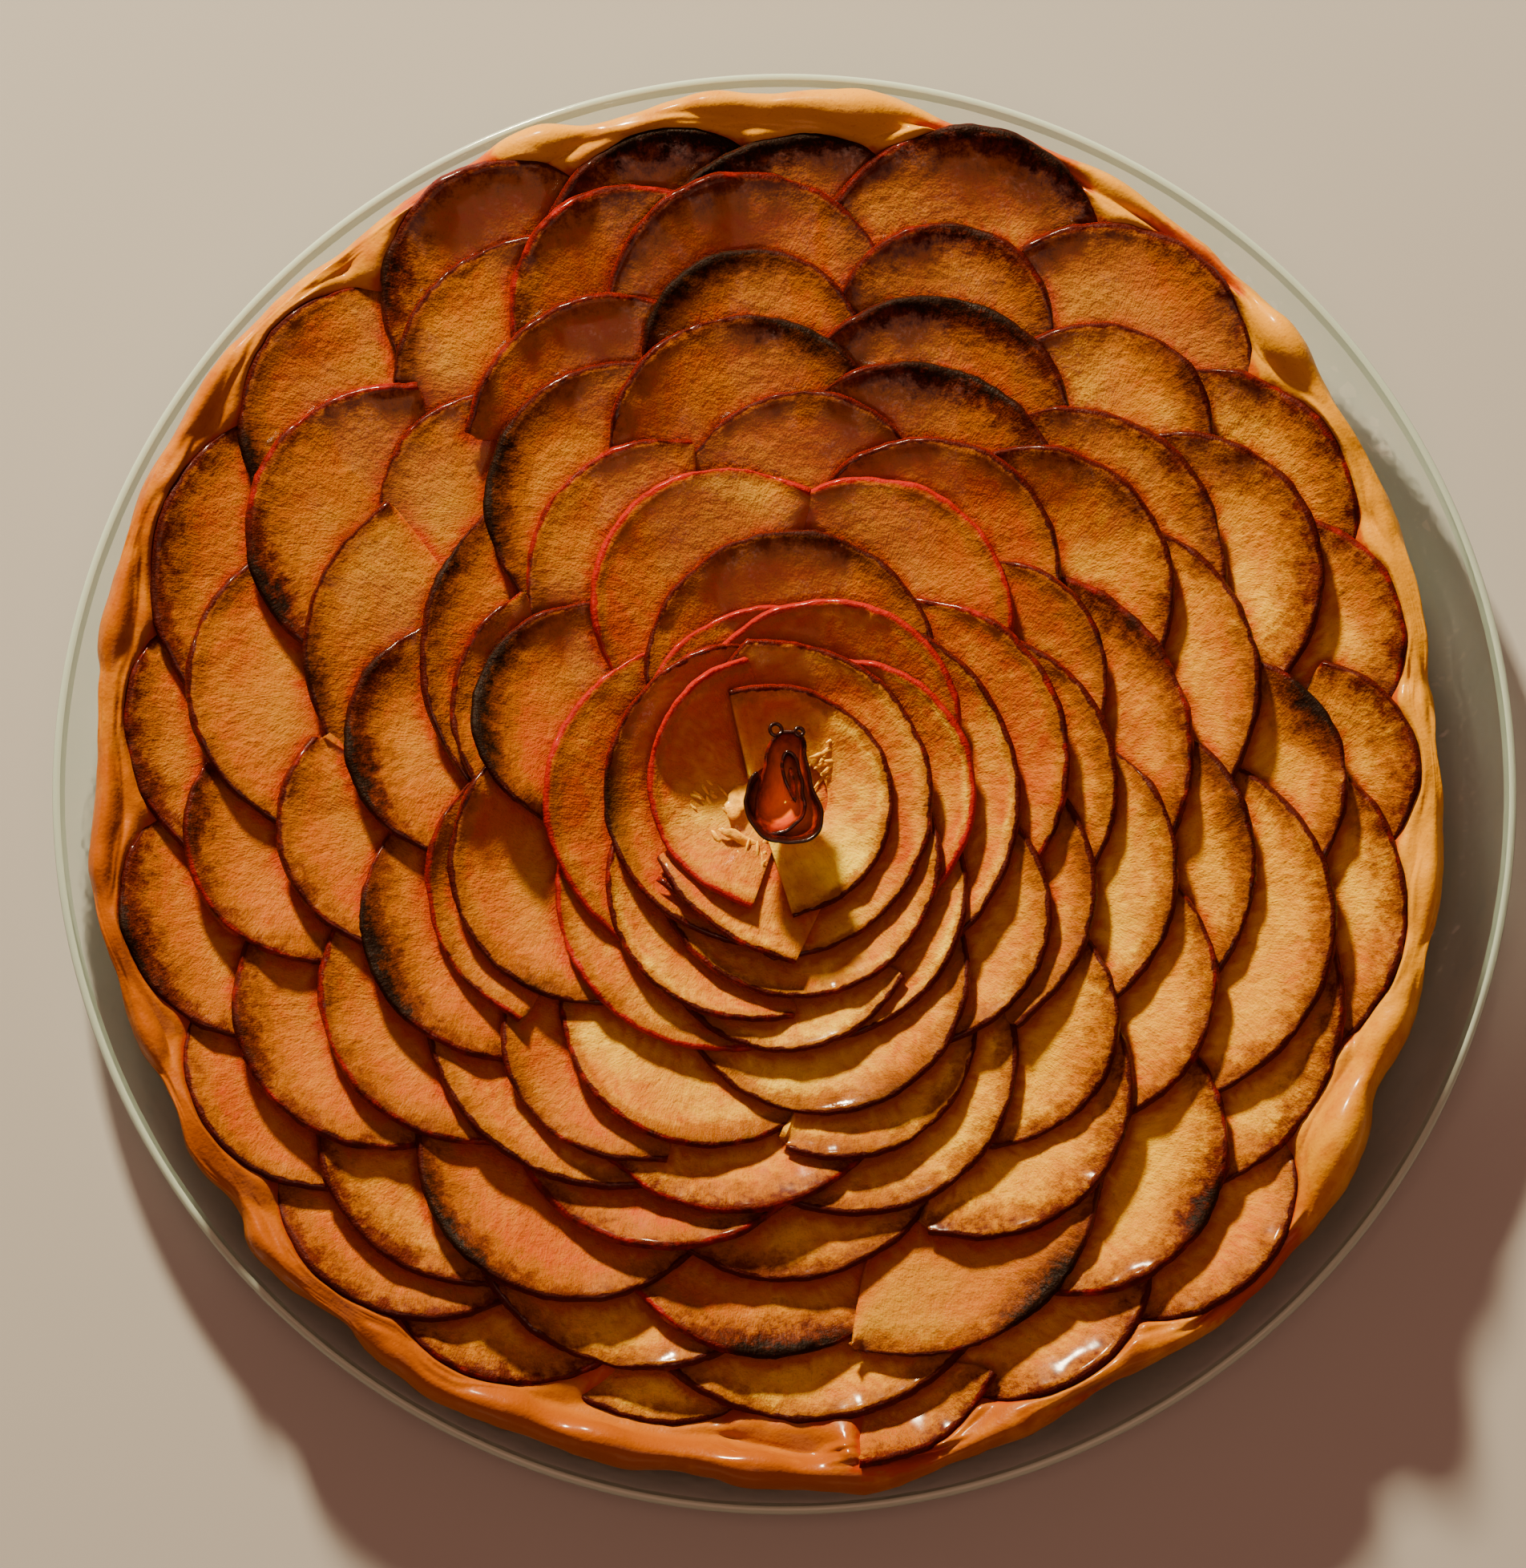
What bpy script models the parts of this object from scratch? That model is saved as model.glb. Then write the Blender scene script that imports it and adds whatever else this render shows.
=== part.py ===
"""A round apple tart in the shallow clear glass dish it was baked in.

One golden crust with its hidden filling is a single solid.  A hundred and one thin apple slices
are laid on it like a rose, from the rim inwards, each on whatever already lies beneath it.  A
dried curl of peel stands in the middle.  Lengths here are millimetres until a mesh is made, and
bearings are degrees clockwise from the far side (+Y), like the hours of a clock.
"""

import math

import bmesh
import bpy
import numpy as np
from mathutils import noise, Vector

# ---------------------------------------------------------------- named sizes
GAP = 0.3                 # air left between neighbouring pieces
SEED = 7

DISH_STEPS = 56           # facets round the glass dish
DISH_INSIDE = [           # reach and height of the dish's upper face, middle to lip
    (0.0, 4.0), (114.0, 4.0), (121.0, 5.4), (131.0, 8.8), (146.6, 12.8), (148.4, 14.4),
    (149.6, 14.0),
]
DISH_OUTSIDE = [          # the same for its lower face, lip to middle
    (150.0, 12.6), (148.2, 10.6), (129.0, 4.4), (119.0, 1.2), (112.0, 0.0), (0.0, 0.0),
]

TART_SHIFT = (0.0, -1.8)  # the tart sits a little off the middle of its dish
CRUST_STEPS = 100         # facets round the crust
FILL_LEVEL = 14.0         # height of the filling next to the rim
FILL_DOME = 1.5           # how much higher it is in the middle
RIM_HEIGHT = 25.8         # height of a full rim above the table
RIM_LOW = 21.5            # height of the rim where slices press it down
DISH_LIMIT = 148.6        # the crust reaches no further than this
RIM_LEAST = 5.0           # narrowest rim
RIM_MOST = 9.5            # widest rim
RIM_WIDER = 5.0           # added to it at the far side, where the wall leans back
WALL_BANK = 2.8           # how high the filling creeps up the inside of the rim
BULGE_HEIGHT = 18.6       # height of the rim's widest point
CRUST_FOOT = 112.0        # reach of the crust's flat underside
RIM_REACH = [             # how far the crust reaches, every 7.5 degrees from the far side
    147, 149, 144, 146, 145, 144, 142, 140, 139, 137, 136, 133,
    135, 136, 136, 137, 135, 140, 141, 141, 138, 141, 142, 145,
    144, 142, 144, 143, 145, 142, 143, 141, 141, 141, 142, 143,
    141, 142, 144, 146, 146, 148, 147, 146, 147, 147, 145, 148,
]
RIM_LUMPS = [             # bearing, half width in degrees, outward swell, upward swell
    (48, 3.0, 1.6, 3.0), (123, 5.0, 1.6, 1.8), (144, 4.5, 1.0, 2.0), (162, 4.5, 0.8, 1.8),
    (173, 3.5, 1.4, 1.6), (181, 3.2, 1.4, 1.0), (194, 4.5, 0.8, 2.2), (226, 3.2, 1.6, 2.4),
    (261, 4.0, 1.2, 1.0), (340, 4.0, 0.6, 1.2),
]

SLICE_THICK = {           # thickness of the slices, ring by ring
    "outer": 2.2, "second": 2.1, "third": 2.0, "fourth": 1.9, "fifth": 1.7, "sixth": 1.6,
    "heart": 1.5,
}
RING_SHIFT = {            # how far each ring sits nearer than the round of the tart
    "outer": 0.0, "second": 0.3, "third": 0.6, "fourth": 0.9, "fifth": 1.2, "sixth": 1.5,
    "heart": 1.7,
}
TUCK = 5.0                # how far a slice runs on under the slices above it
END_TUCK = 7              # the same at the two ends of its peel, in degrees
DEEPEST = 30.0            # longest slice, measured inwards from the peel
COLUMN = 10.0             # length of one facet along the peel
TOED_IN = 0.45            # how much the facets of a slice close up towards its middle
CORE_HOLE = (1.0, -1.1, 8.6)  # x, y and radius of the hole the core left
CORED = 2                 # the topmost slices, which the core hole cuts
BLUNT = 4                 # the topmost slices end in a straight cut, the others in a point
TIP_WIDTH = 2.0           # width of a pointed end
TIP_SLOPE = 1.1           # how fast a slice widens from such an end, mm for a degree of peel
STIFF = (0.02, 0.02, 0.02, 0.05, 0.05)   # resistance of a slice to bowing, twisting and curling
TUCK_SAG = 0.85           # how closely the hidden ends and tails settle on what is below
FREE_RISE = 2.6           # height over what is below at which a slice starts to sag
LIFT = 0.35               # how far the peel edge of a slice curls up
MOST_NODES = 57           # slices are joined in pairs until no more than this many are left

CURL_LOOP = [             # outline of the peel curl: bearing and reach
    (0, 14.0), (20, 10.8), (45, 8.0), (80, 7.4), (115, 9.6), (140, 11.4), (180, 9.6),
    (220, 11.4), (245, 9.4), (280, 7.4), (315, 7.8), (340, 10.4), (360, 14.0),
]
CURL_AT = (1.2, -2.1)
CURL_TURNS = 1.8
CURL_INNER = 0.42         # size of the innermost loop against the outermost
CURL_STEPS = 32
CURL_THICK = 0.9
CURL_ABOVE = 8.0          # how far the curl stands above the slices
CURL_WAIST = 0.55         # size of its foot against its mouth

# Every slice, in the order it is laid: ring, reach and bearing of the middle of its round,
# radius of the round, the bearing its peel faces, and half the angle its peel runs through.
SLICES = [
    ("outer", 109, 137, 30, 129, 51), ("outer", 107, 210, 30, 194, 39),
    ("outer", 106, 223, 32, 211, 49), ("outer", 109, 240, 28, 231, 50),
    ("outer", 109, 258, 29, 250, 60), ("outer", 106, 155, 30, 142, 41),
    ("outer", 112, 172, 28, 145, 36), ("outer", 103, 278, 33, 265, 39),
    ("outer", 101, 296, 39, 276, 43), ("outer", 112, 313, 30, 301, 62),
    ("outer", 117, 332, 28, 315, 70), ("outer", 111, 349, 29, 339, 38),
    ("outer", 100, 3, 37, 356, 31), ("outer", 113, 19, 31, 8, 59),
    ("outer", 109, 37, 31, 27, 59), ("outer", 101, 57, 33, 52, 47),
    ("outer", 102, 193, 31, 187, 29), ("outer", 105, 73, 27, 67, 49),
    ("outer", 107, 88, 23, 70, 62), ("outer", 93, 105, 37, 89, 50),
    ("second", 97, 330, 32, 317, 36), ("second", 105, 343, 26, 319, 61),
    ("outer", 89, 177, 41, 177, 37), ("second", 99, 356, 30, 351, 73),
    ("outer", 86, 121, 40, 111, 42), ("second", 93, 222, 33, 219, 43),
    ("second", 88, 199, 36, 194, 34), ("second", 101, 19, 23, 17, 75),
    ("second", 92, 242, 31, 231, 57), ("second", 96, 265, 27, 237, 60),
    ("second", 93, 284, 32, 263, 60), ("second", 97, 304, 30, 296, 74),
    ("second", 98, 41, 24, 32, 55), ("second", 92, 61, 30, 66, 63),
    ("second", 84, 182, 33, 173, 60), ("second", 85, 210, 32, 207, 64),
    ("second", 88, 89, 27, 73, 52), ("second", 80, 110, 37, 96, 58),
    ("second", 94, 141, 31, 121, 64), ("second", 82, 162, 39, 146, 51),
    ("third", 83, 315, 25, 286, 63), ("third", 80, 335, 31, 323, 49),
    ("third", 91, 356, 23, 353, 75), ("third", 79, 22, 30, 15, 60),
    ("third", 75, 237, 32, 233, 55), ("third", 73, 51, 34, 42, 54),
    ("third", 70, 295, 35, 285, 45), ("third", 78, 265, 26, 257, 59),
    ("third", 65, 70, 36, 75, 48), ("third", 66, 180, 35, 169, 40),
    ("third", 66, 201, 33, 195, 44), ("third", 63, 104, 35, 86, 43),
    ("third", 70, 124, 30, 103, 54), ("third", 73, 147, 31, 137, 63),
    ("third", 56, 219, 38, 213, 42), ("fourth", 62, 246, 30, 240, 60),
    ("third", 66, 280, 25, 268, 70), ("fourth", 44, 311, 41, 273, 46),
    ("fourth", 69, 332, 29, 296, 65), ("fourth", 71, 354, 29, 343, 72),
    ("fourth", 63, 24, 32, 14, 45), ("fourth", 65, 50, 30, 48, 64),
    ("fifth", 57, 4, 27, 357, 55), ("fourth", 45, 79, 39, 65, 47),
    ("fourth", 50, 109, 33, 93, 48), ("fourth", 63, 138, 26, 116, 61),
    ("fourth", 56, 165, 33, 139, 53), ("fourth", 54, 191, 34, 181, 43),
    ("fifth", 58, 212, 27, 217, 52), ("fifth", 54, 32, 28, 24, 68),
    ("fifth", 51, 332, 29, 318, 52), ("fifth", 46, 200, 30, 202, 56),
    ("fifth", 50, 166, 27, 154, 52), ("fifth", 47, 247, 30, 252, 52),
    ("fifth", 48, 60, 25, 57, 51), ("fifth", 44, 294, 28, 282, 48),
    ("fifth", 42, 250, 29, 238, 64), ("sixth", 40, 25, 30, 19, 78),
    ("fifth", 36, 87, 32, 70, 51), ("fifth", 37, 122, 32, 105, 46),
    ("fifth", 43, 292, 24, 287, 74), ("sixth", 42, 344, 28, 320, 77),
    ("sixth", 24, 74, 35, 65, 58), ("fifth", 37, 132, 27, 105, 56),
    ("sixth", 37, 168, 30, 157, 75), ("sixth", 24, 215, 33, 225, 52),
    ("sixth", 15, 266, 34, 274, 60), ("sixth", 25, 3, 30, 353, 84),
    ("heart", 9, 94, 39, 80, 50), ("heart", 21, 160, 30, 121, 40),
    ("heart", 27, 180, 26, 170, 57), ("heart", 19, 203, 29, 223, 62),
    ("heart", 12, 351, 28, 333, 41), ("heart", 15, 33, 28, 20, 68),
    ("heart", 11, 87, 28, 69, 61), ("heart", 13, 168, 29, 161, 78),
    ("heart", 6, 276, 31, 276, 74), ("heart", 3, 250, 33, 82, 90),
    ("heart", 6, 97, 34, 218, 32), ("heart", 3, 321, 26, 269, 79),
    ("heart", 2, 227, 24, 74, 98),
]

# ---------------------------------------------------------------- scene helpers


def clear_scene():
    for item in list(bpy.data.objects):
        bpy.data.objects.remove(item, do_unlink=True)


def material(name, colour, roughness, transmission=0.0):
    mat = bpy.data.materials.new(name)
    mat.use_nodes = True
    shader = mat.node_tree.nodes["Principled BSDF"]
    shader.inputs["Base Color"].default_value = (*colour, 1.0)
    shader.inputs["Roughness"].default_value = roughness
    shader.inputs["Metallic"].default_value = 0.0
    shader.inputs["Transmission Weight"].default_value = transmission
    return mat


def add_piece(name, points, faces, mat, smooth=True, shift=(0.0, 0.0)):
    """Make one named object from points in millimetres."""
    mesh = bpy.data.meshes.new(name)
    verts = [((x + shift[0]) / 1000, (y + shift[1]) / 1000, z / 1000) for x, y, z in points]
    mesh.from_pydata(verts, [], faces)
    bm = bmesh.new()
    bm.from_mesh(mesh)
    bmesh.ops.recalc_face_normals(bm, faces=bm.faces)
    bm.to_mesh(mesh)
    bm.free()
    for poly in mesh.polygons:
        poly.use_smooth = smooth
    mesh.materials.append(mat)
    piece = bpy.data.objects.new(name, mesh)
    bpy.context.scene.collection.objects.link(piece)
    return piece


def toward(bearing):
    """Unit vector for a clock bearing in degrees."""
    a = math.radians(bearing)
    return np.array([math.sin(a), math.cos(a)])


def wobble(value, channel):
    """Smooth seeded unevenness between about -1 and 1."""
    return noise.noise(Vector((value, channel * 9.7 + SEED, 3.1))) * 1.6


def lathe(profile_at, rows, steps):
    """Points and faces of a closed solid turned about the middle.

    The first and last rows are single points on the axis; profile_at(step, row) gives the
    reach and height of the others.
    """
    points = []
    for row in range(1, rows - 1):
        for step in range(steps):
            reach, height = profile_at(step, row)
            x, y = toward(360.0 * step / steps) * reach
            points.append((x, y, height))
    first = len(points)
    points.append((0.0, 0.0, profile_at(0, 0)[1]))
    points.append((0.0, 0.0, profile_at(0, rows - 1)[1]))
    faces = []
    for step in range(steps):
        after = (step + 1) % steps
        faces.append((first, after, step))
        for row in range(rows - 3):
            a, b = row * steps + step, row * steps + after
            c, d = a + steps, b + steps
            faces.append((a, b, d))
            faces.append((a, d, c))
        last = (rows - 3) * steps
        faces.append((last + step, last + after, first + 1))
    return points, faces


# ---------------------------------------------------------------- the pile of what is laid
CELL = 0.5
HALF = 160.0
SIDE = int(2 * HALF / CELL)


def cells_of(xy):
    """Column and row numbers of points on the height map."""
    return np.clip(((np.asarray(xy) + HALF) / CELL).astype(int), 0, SIDE - 1)


def cells_in(corners, reach=0.0):
    """Cells whose middle lies in a triangle, and the weights of its corners there.

    With a reach, cells just outside the triangle are taken too.
    """
    low = cells_of(corners.min(axis=0) - reach)
    high = cells_of(corners.max(axis=0) + reach)
    ix, iy = np.meshgrid(np.arange(low[0], high[0] + 1), np.arange(low[1], high[1] + 1))
    ix, iy = ix.ravel(), iy.ravel()
    at = np.stack([ix, iy], axis=1) * CELL - HALF + CELL / 2
    a, b, c = corners
    area = (b[0] - a[0]) * (c[1] - a[1]) - (c[0] - a[0]) * (b[1] - a[1])
    wb = ((at[:, 0] - a[0]) * (c[1] - a[1]) - (c[0] - a[0]) * (at[:, 1] - a[1])) / area
    wc = ((b[0] - a[0]) * (at[:, 1] - a[1]) - (at[:, 0] - a[0]) * (b[1] - a[1])) / area
    weights = np.stack([1 - wb - wc, wb, wc], axis=1)
    heights = np.array([
        abs(area) / np.linalg.norm(c - b),
        abs(area) / np.linalg.norm(a - c),
        abs(area) / np.linalg.norm(b - a),
    ])
    margin = (weights * heights).min(axis=1)
    keep = margin > -reach - 1e-9
    return ix[keep], iy[keep], weights[keep], margin[keep]


class Pile:
    """Height of everything laid so far, and which slice is uppermost, over a fine grid."""

    def __init__(self):
        self.top = np.zeros((SIDE, SIDE))
        self.owner = np.full((SIDE, SIDE), -1)

    def add(self, points, triangles, owner):
        points = np.asarray(points)
        for tri in triangles:
            corners = points[list(tri)]
            ix, iy, weights, _ = cells_in(corners[:, :2], 0.05)
            z = weights @ corners[:, 2]
            higher = z > self.top[iy, ix]
            self.top[iy[higher], ix[higher]] = z[higher]
            self.owner[iy[higher], ix[higher]] = owner

    def spread(self, ix, iy):
        """Highest point within a cell of each cell asked for."""
        best = self.top[iy, ix]
        for dx in (-1, 0, 1):
            for dy in (-1, 0, 1):
                best = np.maximum(best, self.top[iy + dy, ix + dx])
        return best


# ---------------------------------------------------------------- plan of the slices


def plan_point(piece, bearing):
    return piece["middle"] + toward(bearing) * piece["round"]


def plan_inward(piece, bearing):
    return -toward(piece["faces"] + piece["toed"] * (bearing - piece["faces"]))


def read_layout():
    counts = {}
    pieces = []
    for number, row in enumerate(SLICES):
        ring, reach, bearing, radius, faces, half = row
        counts[ring] = counts.get(ring, 0) + 1
        pieces.append({
            "name": f"{ring}_{counts[ring]:02d}",
            "ring": ring,
            "number": number,
            "middle": toward(bearing) * reach - np.array((0.0, RING_SHIFT[ring])),
            "round": float(radius),
            "faces": float(faces),
            "toed": 0.9 if number >= len(SLICES) - CORED else TOED_IN,
            "low": faces - half,
            "high": faces + half,
        })
    return pieces


def run_on(piece, end, sign, cover):
    """Carry one end of the peel on until a slice above hides it."""
    for extra in range(15):
        x, y = cells_of(plan_point(piece, end + sign * extra))
        if cover[y, x]:
            return end + sign * (extra + END_TUCK), False
    return end, True


def shape_plan(piece, cover):
    """Set the plan grid of a slice: it covers all that shows, and a little more."""
    piece["low"], low_tip = run_on(piece, piece["low"], -1, cover)
    piece["high"], high_tip = run_on(piece, piece["high"], 1, cover)
    if piece["number"] >= len(SLICES) - BLUNT:
        low_tip = high_tip = False
    fine = np.linspace(piece["low"], piece["high"], 41)
    hole = CORE_HOLE if piece["number"] >= len(SLICES) - CORED else None
    deep = []
    for bearing in fine:
        walk = np.arange(1.0, DEEPEST + 0.1, 0.5)
        at = plan_point(piece, bearing) + plan_inward(piece, bearing) * walk[:, None]
        cell = cells_of(at)
        shown = ~cover[cell[:, 1], cell[:, 0]]
        limit = DEEPEST
        if hole:
            inside = np.hypot(at[:, 0] - hole[0], at[:, 1] - hole[1]) < hole[2]
            if inside.any():
                limit = walk[np.argmax(inside)]
        shown &= walk < limit
        last = walk[shown].max() if shown.any() else 0.0
        depth = min(max(last + TUCK, TUCK + 1.5), limit)
        if low_tip:
            depth = min(depth, TIP_WIDTH + TIP_SLOPE * (bearing - piece["low"]))
        if high_tip:
            depth = min(depth, TIP_WIDTH + TIP_SLOPE * (piece["high"] - bearing))
        deep.append(depth)
    deep = np.array(deep)
    wide = np.pad(deep, 2, mode="edge")
    deep = np.mean([wide[k:k + 41] for k in range(5)], axis=0)
    length = math.radians(piece["high"] - piece["low"]) * piece["round"]
    columns = int(min(max(round(length / COLUMN), 4), 12))
    rows = 1 if deep.max() < 10.0 else 2
    grid = np.zeros((columns + 1, rows + 1, 2))
    for i in range(columns + 1):
        share = i / columns
        bearing = piece["low"] + share * (piece["high"] - piece["low"])
        near = np.abs(np.linspace(0, 1, 41) - share) <= 0.5 / columns + 1e-6
        depth = deep[near].mean() if hole else deep[near].max()
        if (i == 0 and low_tip) or (i == columns and high_tip):
            depth = TIP_WIDTH
        for j in range(rows + 1):
            inward = plan_inward(piece, bearing) * depth * j / rows
            grid[i, j] = plan_point(piece, bearing) + inward
    piece["grid"] = grid
    mark_cover(grid, cover)


def mark_cover(grid, cover):
    """Mark the cells a plan grid hides."""
    columns, rows = grid.shape[0] - 1, grid.shape[1] - 1
    across = np.linspace(0, 1, 18)[:, None, None]
    for i in range(columns):
        for j in range(rows):
            steps = int(np.linalg.norm(grid[i, j + 1] - grid[i, j]) / 0.35) + 2
            along = np.linspace(0, 1, max(steps, 24))[None, :, None]
            first = grid[i, j] * (1 - along) + grid[i, j + 1] * along
            second = grid[i + 1, j] * (1 - along) + grid[i + 1, j + 1] * along
            cell = cells_of(first * (1 - across) + second * across)
            cover[cell[..., 1], cell[..., 0]] = True


# ---------------------------------------------------------------- laying the slices


def grid_triangles(columns, rows):
    """Triangles of a grid whose point numbers are column * (rows + 1) + row."""
    triangles = []
    for i in range(columns):
        for j in range(rows):
            a = i * (rows + 1) + j
            b, c, d = a + 1, a + rows + 1, a + rows + 2
            if (i + j) % 2:
                triangles += [(a, b, c), (b, d, c)]
            else:
                triangles += [(a, b, d), (a, d, c)]
    return triangles


def bend_terms(piece, at):
    """Terms of a gently bent sheet at plan points: level, tilt, bow and twist."""
    side = toward(piece["faces"] + 90)
    ahead = toward(piece["faces"])
    off = (at - plan_point(piece, piece["faces"])) / 20.0
    u, v = off @ side, off @ ahead
    return np.column_stack([np.ones(len(u)), u, v, u * u, u * v, v * v, u ** 3, u * u * v])


def rest_on(piece, pile):
    """Heights of a slice's underside: a bent sheet resting on the pile, never through it."""
    grid = piece["grid"]
    columns, rows = grid.shape[0] - 1, grid.shape[1] - 1
    flat = grid.reshape(-1, 2)
    patches = []
    for tri in grid_triangles(columns, rows):
        ix, iy, weights, _ = cells_in(flat[list(tri)], 0.4)
        need = pile.spread(ix, iy) + GAP
        at = np.stack([ix, iy], axis=1) * CELL - HALF + CELL / 2
        weights = np.clip(weights, 0, 1)
        weights /= weights.sum(axis=1, keepdims=True)
        patches.append((np.array(tri), weights, need, at))
    need = np.concatenate([p[2] for p in patches])
    terms = bend_terms(piece, np.concatenate([p[3] for p in patches]))
    weight = np.ones(len(need))
    stiff = np.diag([0, 0, 0, *STIFF]) * len(need)
    for _ in range(14):
        left = terms.T @ (terms * weight[:, None]) + stiff
        bend = np.linalg.solve(left, terms.T @ (need * weight))
        weight = np.where(terms @ bend < need, 60.0, 1.0)
    z = bend_terms(piece, flat) @ bend
    for k, point in enumerate(flat):
        x, y = cells_of(point)
        floor = pile.top[y - 1:y + 2, x - 1:x + 2].max() + GAP
        over = max(z[k] - floor, 0.0)
        if k % (rows + 1) == rows or k < rows + 1 or k >= len(flat) - rows - 1:
            over *= 1 - TUCK_SAG
        z[k] = floor + over if over < FREE_RISE else floor + FREE_RISE + 0.3 * (over - FREE_RISE)
    lift = LIFT * (1 + wobble(piece["number"] * 1.7, 1))
    for i in range(columns + 1):
        z[i * (rows + 1)] += lift * (1 + 0.5 * wobble(i * 0.6 + piece["number"], 2))
    for _ in range(40):
        worst = 0.0
        for tri, weights, least, _ in patches:
            short = least - weights @ z[tri]
            k = short.argmax()
            if short[k] > 1e-4:
                w = weights[k]
                z[tri] += short[k] * w / (w @ w)
                worst = max(worst, short[k])
        if worst < 1e-3:
            break
    for tri, weights, least, _ in patches:
        short = (least - weights @ z[tri]).max()
        if short > 0:
            z[tri] += short
    return z


def lay(piece, pile):
    """Give a slice its points and triangles, and add it to the pile."""
    grid = piece["grid"]
    columns, rows = grid.shape[0] - 1, grid.shape[1] - 1
    under = rest_on(piece, pile)
    thick = SLICE_THICK[piece["ring"]] * (1 + 0.1 * wobble(piece["number"] * 2.3, 3))
    body = np.ones((columns + 1, rows + 1)) * thick
    body[:, rows] *= 0.45
    body[0, :] *= 0.55
    body[-1, :] *= 0.55
    flat = grid.reshape(-1, 2)
    over = under + body.ravel()
    piece["under"] = np.column_stack([flat, under])
    piece["over"] = np.column_stack([flat, over])
    piece["triangles"] = grid_triangles(columns, rows)
    piece["below"] = {}
    for number, tri in enumerate(piece["triangles"]):
        ix, iy, weights, margin = cells_in(flat[list(tri)])
        for x, y, w, m in zip(ix, iy, weights, margin):
            gap = w @ under[list(tri)] - pile.top[y, x]
            if m > 0.7 and gap < 2.5:
                piece["below"][(x, y)] = (int(pile.owner[y, x]), number, m)
    pile.add(piece["over"], piece["triangles"], piece["number"])
    piece["size"] = float(len(piece["below"]))


def slice_mesh(piece):
    """Points and faces of one slice: top, underside and the wall round it."""
    count = len(piece["over"])
    points = [tuple(p) for p in piece["over"]] + [tuple(p) for p in piece["under"]]
    tops = [tuple(t) for t in piece["triangles"]]
    bottoms = [(a + count, c + count, b + count) for a, b, c in piece["triangles"]]
    columns, rows = piece["grid"].shape[0] - 1, piece["grid"].shape[1] - 1
    step = rows + 1
    loop = [i * step for i in range(columns + 1)]
    loop += [columns * step + j for j in range(1, rows + 1)]
    loop += [i * step + rows for i in range(columns - 1, -1, -1)]
    loop += [j for j in range(rows - 1, 0, -1)]
    walls = []
    for k, a in enumerate(loop):
        b = loop[(k + 1) % len(loop)]
        walls.append((a, b, b + count))
        walls.append((a, b + count, a + count))
    return points, tops, bottoms, walls


# ---------------------------------------------------------------- joining slices


def find_joint(lower, upper):
    """Best place for a spot of glaze between two slices, well inside a facet of each."""
    if "above" not in lower:
        lower["above"] = {}
        flat = lower["over"][:, :2]
        for number, tri in enumerate(lower["triangles"]):
            ix, iy, _, margin = cells_in(flat[list(tri)])
            for x, y, m in zip(ix, iy, margin):
                if m > 0.7:
                    lower["above"][(x, y)] = (number, m)
    best = None
    for cell, (owner, number, margin) in upper["below"].items():
        if owner == lower["number"] and cell in lower["above"]:
            other, other_margin = lower["above"][cell]
            score = min(margin, other_margin)
            if best is None or score > best[0]:
                best = (score, cell, other, number)
    return best


def choose_joints(pieces):
    """Pair off small neighbours until few enough separate pieces are left."""
    offers = []
    for upper in pieces:
        for owner in sorted({v[0] for v in upper["below"].values() if v[0] >= 0}):
            lower = pieces[owner]
            joint = find_joint(lower, upper)
            if joint:
                same = 0 if lower["ring"] == upper["ring"] else 1
                offers.append((same, lower["size"] + upper["size"], owner, upper["number"], joint))
    offers.sort(key=lambda item: item[:4])
    taken = {}
    left = len(pieces)
    for _, _, low, high, joint in offers:
        if left <= MOST_NODES:
            break
        if low not in taken and high not in taken:
            taken[low] = (high, joint)
            taken[high] = None
            left -= 1
    return taken


def ring_round(triangle, square, points, middle):
    """Triangles filling the band between a triangle and a small square inside it."""
    def angle(k):
        return math.atan2(points[k][1] - middle[1], points[k][0] - middle[0])

    outer = sorted(triangle, key=angle)
    inner = sorted(square, key=angle)
    faces = []
    i = j = 0
    turn = 2 * math.pi
    outer_at = [angle(k) for k in outer] + [angle(outer[0]) + turn]
    inner_at = [angle(k) for k in inner] + [angle(inner[0]) + turn]
    while i < len(outer) or j < len(inner):
        a, b = outer[i % len(outer)], inner[j % len(inner)]
        if j >= len(inner) or (i < len(outer) and outer_at[i + 1] <= inner_at[j + 1]):
            faces.append((a, outer[(i + 1) % len(outer)], b))
            i += 1
        else:
            faces.append((a, inner[(j + 1) % len(inner)], b))
            j += 1
    return faces


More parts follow.
